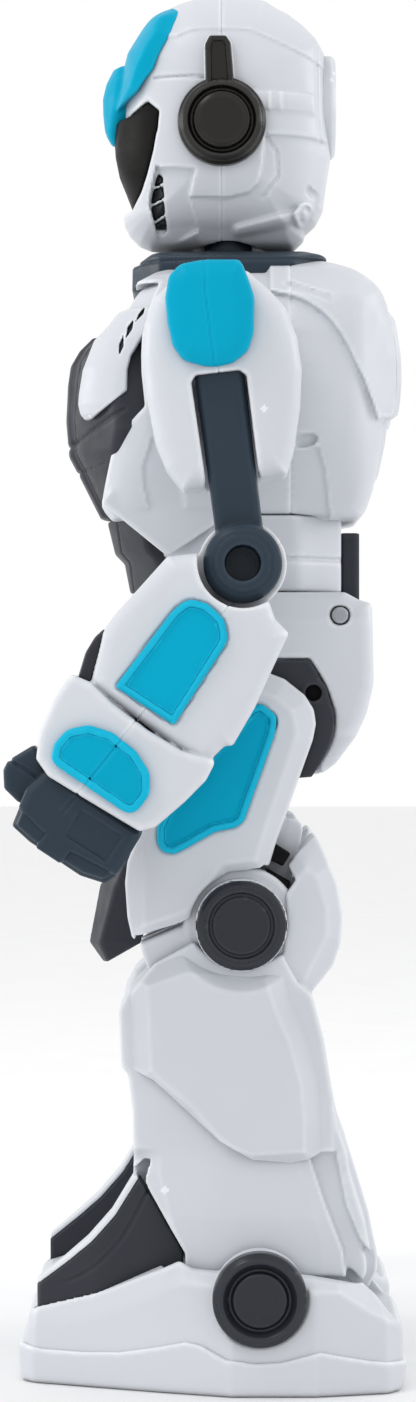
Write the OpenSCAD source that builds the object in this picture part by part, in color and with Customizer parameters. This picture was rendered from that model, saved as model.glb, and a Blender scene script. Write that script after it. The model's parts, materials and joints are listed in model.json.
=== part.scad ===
// Walking humanoid robot toy, standing on the floor and facing -Y, with its left side at +X.
// The head turns, the arms swing and bend, and the legs stride on flat feet with rollers.

/* [Joints] */
// Height of the shoulder shafts above the floor
shoulder_z = 299; // [298.6:0.1:299.4]
// Height of the elbow pins
elbow_z = 231; // [230.6:0.1:231.4]
// Height of the hip axle
hip_z = 187.4; // [187:0.1:187.8]
// Height of the knee pins
knee_z = 130.3; // [130:0.1:130.6]
// Height of the ankle pins
ankle_z = 27.4; // [27.2:0.1:27.6]
// Angle of the bent forearm, forward from straight down
forearm_tilt = 38.9; // [34:0.1:42]
// Distance of the neck post behind the robot's middle
neck_y = 6; // [5:0.5:7]

/* [Widths] */
// Half the width of the head
head_half = 29; // [28:0.5:30]
// Half the width of the chest at the shoulders
chest_half = 52; // [51:0.5:53]
// Inner side of the arm shells
arm_in = 55; // [54.5:0.5:56]
// Inner side of the legs
leg_in = 18; // [17.5:0.5:18.5]

/* [Shells] */
// Thickness of the moulded shells
wall = 2.4; // [2:0.1:2.8]
// Gap between two halves of a shell
seam = 0.3; // [0.2:0.05:0.4]

/* [Pins] */
// Radius of the hip, knee and ankle pins
pin_r = 3; // [2.6:0.1:3.2]
// Radius of the shoulder shafts and elbow pins
shaft_r = 4; // [3.6:0.1:4.2]
// Radial clearance of a pin in its bore
fit = 0.05; // [0.03:0.01:0.08]
// Radius of the rollers under the feet
roller_r = 6; // [5.6:0.1:6.2]

/* [Hidden] */
$fn = 64;

white = "#e9ebf0";
teal = "#00a9cc";
slate = "#3f4d5c";
dark = "#55565c";
black = "#26272a";
steel = "#b4b6ba";

shoulder_y = 0.5;
elbow_y = 9.5;
hip_y = 16.5;
knee_y = 9.4;
ankle_y = 14.4;
head_floor = 326.2;
head_seam_y = 4;
torso_seam_y = 24;
arm_out = 92;
strap_in = 84;
leg_out = 58;
shin_out = 62;
foot_in = 12;
foot_out = 76;
sole_deck = 20;
fin_in = 45;
fin_out = 56.6;
roller_y = -34;
roller_bearings = [17.6, 48.4];
axle_r = 2;

// A side outline in [y, z], drawn out across the robot from x0 to x1
module across(x0, x1) {
    translate([x0, 0, 0]) rotate([90, 0, 90]) linear_extrude(x1 - x0) children();
}

// A front outline in [x, z], drawn out from y0 back to y1
module deep(y0, y1) {
    translate([0, y1, 0]) rotate([90, 0, 0]) linear_extrude(y1 - y0) children();
}

// A plan outline in [x, y], drawn out from z0 up to z1
module tall(z0, z1) {
    translate([0, 0, z0]) linear_extrude(z1 - z0) children();
}

// A round bar along X
module rod(x0, x1, y, z, r) {
    translate([x0, y, z]) rotate([0, 90, 0]) cylinder(h = x1 - x0, r = r);
}

module block(low, high) {
    translate(low) cube(high - low);
}

// Left parts as drawn, right parts mirrored
module on_side(side) {
    if (side == "left") children();
    else mirror([1, 0, 0]) children();
}

module both_sides() {
    children();
    mirror([1, 0, 0]) children();
}

// Forearm outlines are drawn in [u, v]: v runs up along the forearm to the elbow pin
module forearm_frame() {
    translate([0, elbow_y, elbow_z]) rotate([-forearm_tilt, 0, 0]) children();
}

// Outlines drawn for the middle of a part, mirrored to make a closed symmetric outline
function both(right) = concat(right, [for (i = [len(right) - 1:-1:0]) [-right[i][0], right[i][1]]]);

// An outline shrunk towards a centre by different amounts each way
function shrink(points, centre, by) =
    [for (p = points) [centre[0] + (p[0] - centre[0]) * by[0], centre[1] + (p[1] - centre[1]) * by[1]]];

// Points along a circular arc
function arc(centre, r, from, to, steps) =
    [for (i = [0:steps]) let (a = from + (to - from) * i / steps) centre + r * [cos(a), sin(a)]];

// ---- Head

head_side = [
    [-22.5, 335], [-20.8, 330.2], [-14.5, 326.3], [24.9, 326.3], [28.4, 330], [34, 338.5], [36.2, 353],
    [36.2, 372], [34.3, 387.3], [28.8, 393.6], [20.2, 398.7], [6.8, 401.1], [-2, 400.5], [-10.2, 398.3],
    [-18, 393], [-23.5, 384], [-24.7, 372], [-24.2, 345]
];

function head_front_view(half) = both([
    [half * 0.5, 326.2], [half * 0.82, 334], [half * 0.93, 345], [half, 358], [half, 376],
    [half * 0.9, 388], [half * 0.66, 396.5], [half * 0.3, 401.2]
]);

function head_plan(half) = both([
    [half * 0.42, -24.8], [half * 0.72, -20], [half * 0.92, -9], [half, 3], [half, 16],
    [half * 0.86, 27], [half * 0.55, 34.5], [half * 0.2, 36.3]
]);

module head_solid(by) {
    intersection() {
        across(-40, 40) polygon(shrink(head_side, [6, 363], [by, by]));
        deep(-40, 50) polygon(shrink(head_front_view(head_half), [0, 363], [by, by]));
        tall(300, 420) polygon(shrink(head_plan(head_half), [0, 6], [by, by]));
    }
}

visor_half = 24;
visor_z = [338, 367];
module face_window() {
    block([-visor_half - seam, -40, visor_z[0] - seam], [visor_half + seam, -14, visor_z[1] + seam]);
}

module head_base(grow) {
    block([-16 - grow, -8 - grow, head_floor - 1], [16 + grow, 22 + grow, head_floor + 4 + grow]);
}

module head_shell() {
    difference() {
        head_solid(1);
        head_solid(0.92);
        face_window();
    }
}

module head_front() {
    color(white) difference() {
        head_shell();
        block([-50, head_seam_y - seam / 2, 300], [50, 60, 420]);
        head_base(seam);
        ear_studs(3.3);
    }
}

module head_rear() {
    color(white) difference() {
        union() {
            difference() {
                head_shell();
                block([-50, -60, 300], [50, head_seam_y + seam / 2, 420]);
            }
            intersection() {
                head_base(0);
                head_solid(1);
            }
        }
        translate([0, neck_y, 300]) cylinder(h = 60, r = 7 + fit);
        ear_studs(3.3);
        rear_stud(3.3);
    }
}

module visor() {
    inner_r = 31;
    outer_r = 34;
    color(black) intersection() {
        difference() {
            translate([0, 6, visor_z[0]]) cylinder(h = visor_z[1] - visor_z[0], r = outer_r);
            translate([0, 6, 330]) cylinder(h = 50, r = inner_r);
        }
        block([-visor_half, -40, visor_z[0]], [visor_half, -15.5, visor_z[1]]);
        across(-30, 30) polygon([[-22.2, 338], [-25.5, 347], [-28.2, 359], [-28.2, 367], [-13.4, 367], [-15.4, 338]]);
    }
}

// Swept teal crest over the visor: a middle boss and two wings that rise to the temples
module crest() {
    wing = both([[3, 358.6], [9, 362.5], [22, 370], [24, 378], [20, 393], [14, 396], [10, 391], [6, 383]]);
    color(teal) intersection() {
        difference() {
            translate([0, 6, 355]) cylinder(h = 45, r = 37.3);
            translate([0, 6, 350]) cylinder(h = 60, r = 34.3);
        }
        deep(-40, 6) polygon(wing);
        across(-40, 40) polygon([[-31.4, 358], [-31.4, 381], [-24, 398], [-8.6, 398], [-8.6, 390], [-22, 358]]);
    }
}

ear_y = 4;
ear_z = 361;
module ear_studs(r) {
    rod(-33, 33, ear_y, ear_z, r);
}

module ear_cups() {
    rim_r = 12.6;
    color(black) both_sides() {
        difference() {
            union() {
                rod(29.4, 34.6, ear_y, ear_z, rim_r);
                rod(26, 30, ear_y, ear_z, 3);
                across(29.4, 33) polygon([[-1.4, 369], [7.4, 369], [5.8, 384.4], [4.6, 385.4], [0.8, 385.4], [-0.4, 384]]);
            }
            rod(33.4, 36.5, ear_y, ear_z, 8.9);
        }
        rod(33, 35.8, ear_y, ear_z, 7.8);
    }
}

nape_z = 369.3;
module rear_stud(r) {
    translate([0, 30, nape_z]) rotate([-90, 0, 0]) cylinder(h = 12, r = r);
}

module nape_disc() {
    outer_r = 15.3;
    color(white) {
        difference() {
            union() {
                translate([0, 36.4, nape_z]) rotate([-90, 0, 0]) cylinder(h = 2.4, r = outer_r);
                translate([0, 31, nape_z]) rotate([-90, 0, 0]) cylinder(h = 6, r = 3);
            }
            translate([0, 37.6, nape_z]) rotate([-90, 0, 0]) cylinder(h = 3, r = outer_r - 3);
        }
    }
}

// ---- Torso

module collar() {
    collar_top = 325.6;
    color(slate) difference() {
        intersection() {
            across(-34, 34) polygon([
                [-22.8, 313.4], [-22, 320.6], [-14.1, 324.7], [-10.5, collar_top], [28.1, collar_top],
                [35, 322.3], [35, 321.8], [-12.2, 321.8], [-22.4, 313.5]
            ]);
            tall(300, 330) polygon(both([[14, -22.8], [26, -14], [33, 2], [33, 24], [22, 35]]));
        }
        translate([0, neck_y, 300]) cylinder(h = 40, r = 8.4);
    }
}

module neck_post() {
    color(dark) translate([0, neck_y, 0]) {
        translate([0, 0, 314]) cylinder(h = 22, r = 7);
        translate([0, 0, 312]) cylinder(h = 4, r = 12);
        translate([0, 0, 330.6]) cylinder(h = 3, r = 9.5);
    }
}

torso_side = [
    [-12, 321.5], [-22, 313.4], [-30.5, 303], [-33, 290], [-31, 276], [-31, 250], [-28, 244.6], [40, 244.6],
    [44.6, 246], [47.7, 254.5], [50.9, 267.9], [52.1, 276.1], [54, 278.9], [55.2, 286], [54.8, 292.2],
    [52.4, 301.7], [48.5, 310.3], [41.4, 317.5], [33, 321.5]
];
torso_front = both([
    [38, 244.6], [41, 256], [47, 274], [chest_half, 290], [chest_half, 302], [46, 312], [30, 321.5]
]);
torso_plan = both([
    [26, -33.5], [36, -30], [46, -18], [chest_half, -4], [chest_half, 26], [46, 42], [30, 53], [12, 55.4]
]);

module torso_solid(by) {
    middle = 283;
    intersection() {
        across(-60, 60) polygon(shrink(torso_side, [11, middle], [by, by]));
        deep(-50, 60) polygon(shrink(torso_front, [0, middle], [by, by]));
        tall(200, 340) polygon(shrink(torso_plan, [0, 11], [by, by]));
    }
}

module torso_shell() {
    difference() {
        torso_solid(1);
        torso_solid(0.945);
        rod(-60, 60, shoulder_y, shoulder_z, shaft_r + 1.5);
        translate([0, neck_y, 300]) cylinder(h = 40, r = 7.3);
    }
}

// Opening in the back for the battery cells, closed by the door
module door_opening(gap) {
    block([-32 - gap, 40, 256 - gap], [32 + gap, 70, 306 + gap]);
}

// Chest shell with a pointed skirt down each side of the waist
module chest_shell() {
    color(white) {
        difference() {
            torso_shell();
            block([-70, torso_seam_y - seam / 2, 200], [70, 80, 340]);
        }
        both_sides() across(36.2, 38.4) polygon([[-30.8, 250.5], [-11.6, 234.8], [2, 244], [2, 248], [-28, 252]]);
    }
}

module back_shell() {
    switch_slot_z = [309, 316];
    color(white) difference() {
        torso_shell();
        block([-70, -80, 200], [70, torso_seam_y + seam / 2, 340]);
        door_opening(seam);
        block([-6.6, 40, switch_slot_z[0]], [6.6, 60, switch_slot_z[1]]);
    }
}

module battery_door() {
    color(white) intersection() {
        difference() {
            torso_solid(1);
            torso_solid(0.95);
        }
        door_opening(0);
    }
}

module chest_plate() {
    color(white) intersection() {
        difference() {
            across(-40, 40) polygon([
                [-23.5, 313.4], [-26.4, 311], [-35.2, 300], [-38.2, 277.4], [-36, 274.1], [-33.4, 276.4],
                [-33.7, 290], [-31.3, 302.6], [-22.6, 313.3]
            ]);
            block([-15, -60, 270], [15, -10, 300]);
        }
        tall(270, 320) polygon(both([[24, -38.4], [36, -34.6], [40, -30], [40, -20]]));
    }
}

module chest_core() {
    color(dark) {
        across(-14.6, 14.6) polygon([
            [-34.2, 299], [-35, 299.2], [-40.5, 292.2], [-42.1, 286], [-42.1, 273.4], [-41.1, 265.5],
            [-38.1, 259.9], [-32, 247.4], [-31.4, 250], [-31.4, 276], [-34.1, 290]
        ]);
        intersection() {
            across(-33, 33) polygon([[-31.4, 250], [-31.4, 273], [-37, 272.8], [-40, 264], [-37, 258], [-32, 247.4]]);
            tall(240, 280) polygon(both([[15, -41], [33, -33], [33, -20]]));
        }
    }
}

// Faceted dark belly between the chest and the pelvis
module abdomen() {
    color(dark) intersection() {
        across(-30, 30) polygon([
            [-27.8, 244.3], [-30.8, 248], [-31.6, 246.6], [-28, 236.8], [-24.3, 232.9], [-22.8, 225.2],
            [-14, 225.2], [-14, 244.3]
        ]);
        tall(200, 260) polygon(both([[14, -32], [30, -22], [30, -10]]));
    }
}

// Waist ring with the spine cover moulded behind it
module waist_band() {
    color(white) difference() {
        union() {
            intersection() {
                block([-36, -13.6, 224.8], [36, 39, 244.3]);
                tall(200, 260) polygon(both([[30, -13.6], [36, 0], [36, 26], [22, 39]]));
            }
            across(-17, 17) polygon([[38, 224.8], [39.4, 224.8], [43.2, 222.4], [44.4, 222.2], [44.4, 242.8], [38, 242.8]]);
        }
        block([-29, -9, 220], [29, 30, 250]);
    }
}

pelvis_side = [
    [-21.5, 224.5], [-22.5, 212], [-19.5, 196], [-12, 186], [4, 178], [30, 172], [32.4, 172], [36.9, 175.5],
    [42.3, 183.1], [45.4, 190], [47.3, 198.4], [47, 214.4], [46.9, 221.3], [43.1, 222], [39.2, 224.5]
];

module pelvis_solid(by) {
    middle = [12, 202];
    front_view = both([[30, 170], [46, 184], [48, 200], [48, 216], [44, 224.5]]);
    intersection() {
        across(-60, 60) polygon(shrink(pelvis_side, middle, [by, by]));
        deep(-40, 60) polygon(shrink(front_view, [0, middle[1]], [by, by]));
    }
}

hip_plate_side = [
    [-6, 196], [-4, 212], [14, 217], [34, 214], [38, 200], [37, 190], [33, 176], [28, 174], [24, 180], [4, 180]
];

// Round well in the pelvis where the top of a leg swings
module hip_well(r) {
    both_sides() rod(leg_in - 1.5, 60, hip_y, hip_z, r);
}

module pelvis_shell() {
    well_r = 27;
    color(white) difference() {
        union() {
            difference() {
                pelvis_solid(1);
                pelvis_solid(0.93);
            }
            both_sides() intersection() {
                pelvis_solid(0.98);
                block([leg_in - 5, -30, 150], [leg_in - 2.4, 60, 222]);
            }
        }
        hip_well(well_r);
        both_sides() block([leg_in - 1.5, -30, 150], [60, hip_y + 17, hip_z]);
        both_sides() across(46, 60) polygon(shrink(hip_plate_side, [hip_y, 196], [1.02, 1.02]));
        rod(-60, 60, hip_y, hip_z, pin_r);
        block([-12, -4, 215], [12, 28, 240]);
        both_sides() rod(44, 50, 37.6, 217.8, 2.5);
        block([-16, -40, 176], [16, -15.6, 206]);
    }
}

// Dark side plates that carry the outer ends of the hip axles, each with its screw boss
module hip_plates() {
    color(dark) both_sides() {
        difference() {
            union() {
                across(46.2, 48.9) polygon(hip_plate_side);
                rod(45.8, 48.9, 30, 195.7, 4.2);
            }
            rod(40, 60, hip_y, hip_z, pin_r);
            rod(47, 60, 30, 195.7, 2.3);
        }
        rod(47, 49.4, 37.6, 217.8, 2.4);
    }
}

module crotch_plate() {
    plate_half = 14;
    color(dark) intersection() {
        across(-plate_half, plate_half) polygon([
            [-16.2, 205], [-23.5, 205], [-24.6, 176], [-27.5, 150], [-32, 138.9], [-35.2, 122], [-30.9, 116],
            [-22.5, 122.4], [-19, 150], [-16.2, 176]
        ]);
        deep(-50, 0) polygon(both([[3, 115], [10, 122], [14, 140], [14, 206]]));
    }
}

module battery_cells() {
    cell_r = 7.1;
    cell_h = 50;
    pitch = 14.8;
    color(teal) for (i = [-1.5:1:1.5]) {
        translate([i * pitch, 38, 256]) cylinder(h = cell_h, r = cell_r);
        translate([i * pitch, 38, 256 + cell_h - 0.5]) cylinder(h = 1.5, r = 2.6);
    }
}

module control_board() {
    board_y = 27;
    color(steel) {
        block([-31, board_y - 1.6, 254], [31, board_y, 308]);
        block([-16, board_y - 4, 272], [-2, board_y - 1, 286]);
        block([8, board_y - 3.2, 262], [18, board_y - 1, 268]);
        block([6, board_y - 6, 290], [24, board_y - 1, 298]);
    }
}

// Gear motors: one for each arm, and one low in the waist whose axle carries both legs
module gear_motors() {
    shaft_end = 82;
    axle_end = 55;
    color(steel) {
        both_sides() {
            block([18, -12, 288], [42, 13, 308]);
            rod(41, shaft_end, shoulder_y, shoulder_z, shaft_r);
            rod(6, 19, shoulder_y, shoulder_z, 9);
        }
        block([-11, 1, 196], [11, 27, 236]);
        rod(-11, 11, hip_y, hip_z, 9.4);
        rod(-axle_end, axle_end, hip_y, hip_z, pin_r);
    }
}

module power_switch() {
    color(black) {
        block([-3, 45.5, 310], [3, 51, 315]);
        block([-4.5, 43.5, 309.5], [4.5, 46.2, 315.5]);
    }
}

// ---- Upper arms

arm_outline = concat(
    [[-6.8, 251.6], [-11.6, 257.6], [-14.6, 265], [-17, 277], [-18.1, 288], [-17.6, 297], [-14.6, 304.4]],
    [[-8, 311], [2, 313.6], [11, 311.6], [17.2, 306.2], [21.5, 301.5], [24.6, 293.5], [25.9, 284.7]],
    [[25.4, 274], [23.6, 261.6], [22.3, 256], [18, 255.6]]
);

module pauldron_shell() {
    middle = [3, 288];
    slot = [[-5.4, 245], [-4.4, 283], [10.4, 283.6], [14.8, 245]];
    difference() {
        across(arm_in, arm_out) polygon(arm_outline);
        across(arm_in + wall, arm_out - wall) polygon(shrink(arm_outline, middle, [0.88, 0.92]));
        across(arm_in + 8, arm_out + 1) polygon(slot);
        rod(arm_in - 1, arm_in + 10, shoulder_y, shoulder_z, shaft_r + 2.5);
    }
}

module pauldron_front(side) {
    color(white) on_side(side) difference() {
        pauldron_shell();
        block([0, 3 - seam / 2, 200], [120, 60, 330]);
    }
}

module pauldron_rear(side) {
    color(white) on_side(side) difference() {
        pauldron_shell();
        block([0, -60, 200], [120, 3 + seam / 2, 330]);
    }
}

// Teal cap over the shoulder, moulded in a front half and a rear half
module shoulder_cap(side) {
    cap = concat(
        arc([-5, 306], 6.4, 100, 170, 4), [[-11.8, 300], [-10.4, 292]], arc([-2.4, 290.6], 6, 205, 268, 4),
        arc([5, 292], 6.8, 285, 345, 4), [[12.8, 300], [12.4, 304]], arc([5.4, 307], 6.8, 10, 84, 4)
    );
    color(teal) on_side(side) difference() {
        union() {
            across(arm_out + 0.2, 96.4) polygon(cap);
            across(96.4, 98) polygon(shrink(cap, [0.5, 299], [0.86, 0.9]));
        }
        block([80, 0.5 - seam / 2, 200], [120, 0.5 + seam / 2, 330]);
    }
}

// Inner arm lever: a hub on the shoulder shaft, a strap down the slot and the elbow ring
module arm_link(side) {
    strap_out = 89.3;
    ring_r = 10.8;
    color(slate) on_side(side) difference() {
        union() {
            rod(60, strap_out, shoulder_y, shoulder_z, 9);
            across(strap_in, strap_out) polygon([[-6, 299], [7, 299], [10, 283], [15.2, 239.9], [2.1, 239.1], [-3.6, 281.5]]);
            rod(strap_in, 97, elbow_y, elbow_z, ring_r);
            rod(69, strap_in + 1, elbow_y, elbow_z, shaft_r);
        }
        rod(55, 82.4, shoulder_y, shoulder_z, shaft_r + fit);
        rod(92, 98, elbow_y, elbow_z, 4.9);
    }
}

// ---- Forearms

forearm_outline = [
    [-10.6, -5], [-16.6, -11.6], [-18, -22.9], [-18.4, -32.7], [-17.9, -39], [-13, -50.9],
    [26.6, -46.9], [27.4, -42], [29.1, -40.4], [27.3, -28.7], [25.1, -20.2], [21.8, -7], [16.4, -6.4], [11.3, -3.2]
];
cuff_outline = [
    [-13, -50], [-17.4, -53], [-16.6, -61.3], [-13.7, -71.2], [-10.2, -76.7], [-4.7, -78.3],
    [23.9, -74.4], [26.6, -70.8], [28.5, -60.4], [29.3, -52.3], [28.3, -47.5], [26, -46]
];

module forearm_shell() {
    body_in = 66;
    body_out = 102.4;
    cuff_in = 62;
    cuff_out = 105;
    difference() {
        union() {
            across(body_in, body_out) polygon(forearm_outline);
            across(cuff_in, cuff_out) polygon(cuff_outline);
            rod(70, strap_in - 0.4, 0, 0, 13.1);
        }
        across(body_in + wall, body_out - wall) polygon([
            [-13.5, -19], [-15, -36], [-12, -48], [-13, -70], [-6, -74], [20, -70], [24, -56], [25, -42], [20, -19]
        ]);
        rod(strap_in - 0.4, 110, 0, 0, 12.4);
        rod(strap_in - 0.4, 90, 0, 0, 14.3);
        rod(60, strap_in, 0, 0, shaft_r + fit);
    }
}

module forearm_front(side) {
    color(white) on_side(side) forearm_frame() difference() {
        forearm_shell();
        block([50, 4.5 - seam / 2, -90], [120, 50, 40]);
    }
}

module forearm_rear(side) {
    color(white) on_side(side) forearm_frame() difference() {
        forearm_shell();
        block([50, -50, -90], [120, 4.5 + seam / 2, 40]);
    }
}

module forearm_panel(side) {
    panel_in = 102.7;
    panel_out = 104.4;
    color(teal) on_side(side) forearm_frame() across(panel_in, panel_out) polygon([
        [-5.8, -48], [12.6, -46.1], [9.4, -19], [5.4, -15.7], [0.3, -15.2], [-5.1, -17.6], [-6.6, -21.6]
    ]);
}

// D-shaped teal pad on the cuff, split along the forearm's seam
module cuff_pad(side) {
    pad = [
        [-6.6, -74.7], [-8.9, -70.5], [-8.6, -65.1], [-4.9, -60.5], [1.4, -58], [9.7, -57.9], [16.1, -60.1],
        [19.8, -64.6], [20.2, -71]
    ];
    color(teal) on_side(side) forearm_frame() difference() {
        union() {
            across(105.2, 107) polygon(pad);
            across(107, 108.2) polygon(shrink(pad, [5.5, -67], [0.86, 0.84]));
        }
        block([100, 4.5 - seam / 2, -90], [120, 4.5 + seam / 2, -40]);
    }
}

// Closed fist with the thumb in front
module hand(side) {
    color(slate) on_side(side) forearm_frame() {
        across(70, 100) polygon([[-7.3, -84.9], [-4.1, -95.4], [2.4, -95.8], [19, -94.3], [25.5, -91.8],
            [26.6, -88.5], [26.2, -83.3], [25, -75], [22.5, -74.9], [-6, -78.7]]);
        across(78, 92) polygon([[-13.4, -76], [-16.2, -82.2], [-15.6, -85.1], [-12.2, -88.9], [-6.4, -89.5],
            [-5.6, -80], [-9.6, -77.3]]);
    }
}

// ---- Legs

thigh_outline = concat(
    arc([hip_y, hip_z], 14.2, 20, 170, 12),
    [[-9, 182], [-16, 170], [-19.8, 155.5], [-22.8, 148], [-23.5, 142], [-22.8, 132.2], [-21.3, 124.7]],
    [[-3.7, 132.2], [9, 134], [23, 138], [27, 147], [24.6, 162], [29.4, 180.9]]
);

module thigh(side) {
    tongue = [32, 45];
    knuckle_r = 18;
    plate_gap = [45.4, 49.8];
    color(white) on_side(side) difference() {
        union() {
            difference() {
                across(leg_in, leg_out) polygon(thigh_outline);
                across(leg_in + wall, leg_out - wall) polygon([
                    [24, 170], [4, 176], [-12, 168], [-20, 148], [-20.4, 120], [-3, 120], [22, 134], [24, 147], [22, 162]
                ]);
                rod(leg_in + wall, 55.4, knee_y, knee_z, knuckle_r);
                rod(55, leg_out + 1, knee_y, knee_z, 13.3);
                rod(plate_gap[0], plate_gap[1], hip_y, hip_z, 25);
            }
            intersection() {
                across(tongue[0], tongue[1]) polygon([
                    [0, 180], [32, 180], [22, 160], [14, 128], [2, 128], [-4, 160]
                ]);
                across(leg_in, leg_out) polygon(thigh_outline);
            }
            across(tongue[0], tongue[1]) polygon(concat(
                arc([knee_y, knee_z], 12, 180, 360, 12), [[20, 152], [-2, 152]]
            ));
        }
        rod(0, 60, hip_y, hip_z, pin_r + fit);
        rod(0, 60, knee_y, knee_z, pin_r + fit);
    }
}

module thigh_panel(side) {
    color(teal) on_side(side) across(leg_out + 0.2, leg_out + 1.6) polygon([
        [12.4, 191.4], [15, 192.3], [18.8, 189.2], [19.1, 186.2], [9.8, 160], [7.2, 157.8], [1.2, 156.3],
        [-4, 154], [-7.8, 150.7], [-10.8, 149.9], [-13.8, 151.4], [-14.5, 156.3], [-10, 168]
    ]);
}

// Knee knuckle: a fork round the thigh's tongue, its pin, and the disc outside
module knee_hub(side) {
    disc_r = 12.7;
    fork_r = 16.5;
    color(black) on_side(side) difference() {
        union() {
            difference() {
                rod(leg_in + 3, 55, knee_y, knee_z, fork_r);
                block([31.5, -40, 100], [45.5, 60, 160]);
            }
            rod(leg_in + 3, 60, knee_y, knee_z, pin_r);
            rod(54, 64, knee_y, knee_z, disc_r);
            across(24, 53) polygon([
                [-6, 127.5], [-17.6, 121.4], [-18, 112.6], [20, 112.6], [22, 118], [4, 116], [-4, 120]
            ]);
        }
        rod(62.4, 65, knee_y, knee_z, 8.6);
    }
}

shin_outline = [
    [-22.5, 111.5], [-25.2, 106.2], [-24.5, 90.1], [-22.6, 88.2], [-21.6, 70], [-21.4, 57.6], [-14.9, 48.4],
    [-6.8, 34.2], [-5, 31.2], [30, 31.2], [40, 28.2], [43.8, 26.6], [48.4, 30.3], [48.4, 37.1], [41.5, 56.9],
    [35.8, 72.9], [34.6, 84], [31, 104], [28.6, 110], [35.5, 118.4], [38.1, 128], [36.6, 142], [32.8, 151.1],
    [30.5, 155.7], [28.6, 152], [31, 136], [29, 122], [20, 112.2]
];

// Hollow shin with a tongue down to the ankle pin and a slot in front for the toe fin
module shin(side) {
    tongue = [34, 48];
    shell_in = leg_in + 1;
    color(white) on_side(side) difference() {
        union() {
            difference() {
                intersection() {
                    across(shell_in, shin_out) polygon(shin_outline);
                    deep(-40, 60) polygon([
                        [shell_in, 20], [shell_in, 160], [54, 160], [58.4, 118], [58.4, 64], [shin_out, 50], [shin_out, 20]
                    ]);
                }
                across(shell_in + wall, 55 - wall) polygon([
                    [-19.8, 108], [-19, 68], [-24, 64], [-24, 20], [44.6, 20], [44.6, 38], [38, 56], [31, 76], [26.6, 106]
                ]);
                across(55 - wall - 0.1, shin_out - wall) polygon([[-30, 20], [-19, 58], [38, 58], [44, 20]]);
            }
            across(tongue[0], tongue[1]) polygon(concat(
                arc([ankle_y, ankle_z], 6.6, 180, 360, 12), [[26, 66], [0, 66]]
            ));
            block([shell_in + 1, -20.4, 63], [56, 36, 66]);
        }
        rod(0, 70, ankle_y, ankle_z, pin_r + fit);
        across(fin_in - 0.6, fin_out + 0.6) polygon([[-30, 20], [-9.2, 20], [-9.2, 43.5], [-14, 58], [-15.8, 64.4], [-30, 64.4]]);
    }
}

module calf_plate(side) {
    color(white) on_side(side) across(58.7, 62.3) polygon([
        [-13.7, 87.1], [-6.3, 80.5], [1.2, 72.2], [6.4, 67.8], [12.4, 65.9], [27.3, 67.4], [27.3, 73],
        [26.2, 84.2], [22.8, 97.5], [17.6, 110], [5, 113.6], [-6, 116], [-13.2, 112.4], [-14.6, 100]
    ]);
}

// ---- Feet

foot_side = [
    [-47.4, 23.6], [-51.3, 21.7], [-52.5, 13.9], [-54.2, 10.2], [-54.3, 5], [-52.5, 0], [54, 0], [56.2, 4],
    [56.2, 18.7], [54.8, 19.1], [53.7, 29.5], [51.5, 35.8], [41.9, 31], [28, 33.4], [14, 34.6], [1.9, 34.4],
    [-6, 34.3], [-20, 30]
];
foot_plan = [
    [foot_in, -46], [foot_in + 4, -54.2], [46, -54.4], [52, -50], [68, -14], [foot_out, 6], [foot_out, 30],
    [70, 51], [62, 56.2], [foot_in + 8, 56.2], [foot_in, 50]
];

// Wavy line where the sole meets the foot shell
sole_line = [
    [-56, 10.9], [-35.7, 10.2], [-24.6, 10.9], [-13.6, 13.1], [-4.7, 15.1], [1.2, 13.1], [8.6, 10.9],
    [13.7, 10.3], [21.8, 11.6], [30.7, 13.2], [38, 12.4], [60, 7.8]
];
foot_middle = [42, 2];
disc_seat = foot_out - 2;

module foot_solid() {
    intersection() {
        across(foot_in, foot_out) polygon(foot_side);
        tall(-5, 60) polygon(foot_plan);
    }
}

module below_sole_line(lift) {
    across(0, 100) polygon(concat([for (p = sole_line) p + [0, lift]], [[60, -5], [-56, -5]]));
}

module foot_shell(side) {
    shin_well = [leg_in - 0.4, shin_out + 1.6];
    color(white) on_side(side) difference() {
        union() {
            difference() {
                foot_solid();
                tall(-5, sole_deck - wall) polygon(shrink(foot_plan, foot_middle, [0.9, 0.94]));
            }
            rod(shin_well[1], disc_seat, ankle_y, ankle_z, 13.8);
        }
        block([shin_well[0], -12.5, sole_deck], [shin_well[1], 70, 70]);
        block([fin_in - seam, -49, sole_deck], [fin_out + seam, -12, 70]);
        rod(foot_in + 2, foot_out, ankle_y, ankle_z, pin_r);
        rod(disc_seat, foot_out + 5, ankle_y, ankle_z, 13.6);
        below_sole_line(seam / 2);
    }
}

// Tray under the foot with bearings for the roller
module sole(side) {
    floor_z = 2.4;
    bearing_top = 9.4;
    color(dark) on_side(side) difference() {
        union() {
            difference() {
                intersection() {
                    foot_solid();
                    below_sole_line(-seam / 2);
                }
                tall(floor_z, 30) polygon(shrink(foot_plan, foot_middle, [0.88, 0.93]));
            }
            for (x = roller_bearings) block([x, roller_y - 4, 0], [x + 4, roller_y + 4, bearing_top]);
        }
        block([22, roller_y - roller_r - 1, -5], [48, roller_y + roller_r + 1, 20]);
        rod(16, 54, roller_y, roller_r, axle_r + fit);
    }
}

// Dark upright fin on the outer side of the toes, with a hollow curved top
module toe_fin(side) {
    base_z = sole_deck + 0.2;
    color(black) on_side(side) intersection() {
        difference() {
            across(fin_in, fin_out) polygon([
                [-48.6, base_z], [-48.6, 29.8], [-40.8, 35.5], [-34, 41.4], [-27.3, 49], [-21.6, 58.9],
                [-18.4, 54], [-12.4, 43], [-12.4, base_z]
            ]);
            across(fin_in + wall, fin_out - wall) polygon([
                [-46, 15], [-46, 28], [-32, 39], [-22, 52], [-15, 41], [-15, 15]
            ]);
        }
        tall(0, 70) polygon(shrink(foot_plan, foot_middle, [0.98, 0.98]));
    }
}

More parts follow.
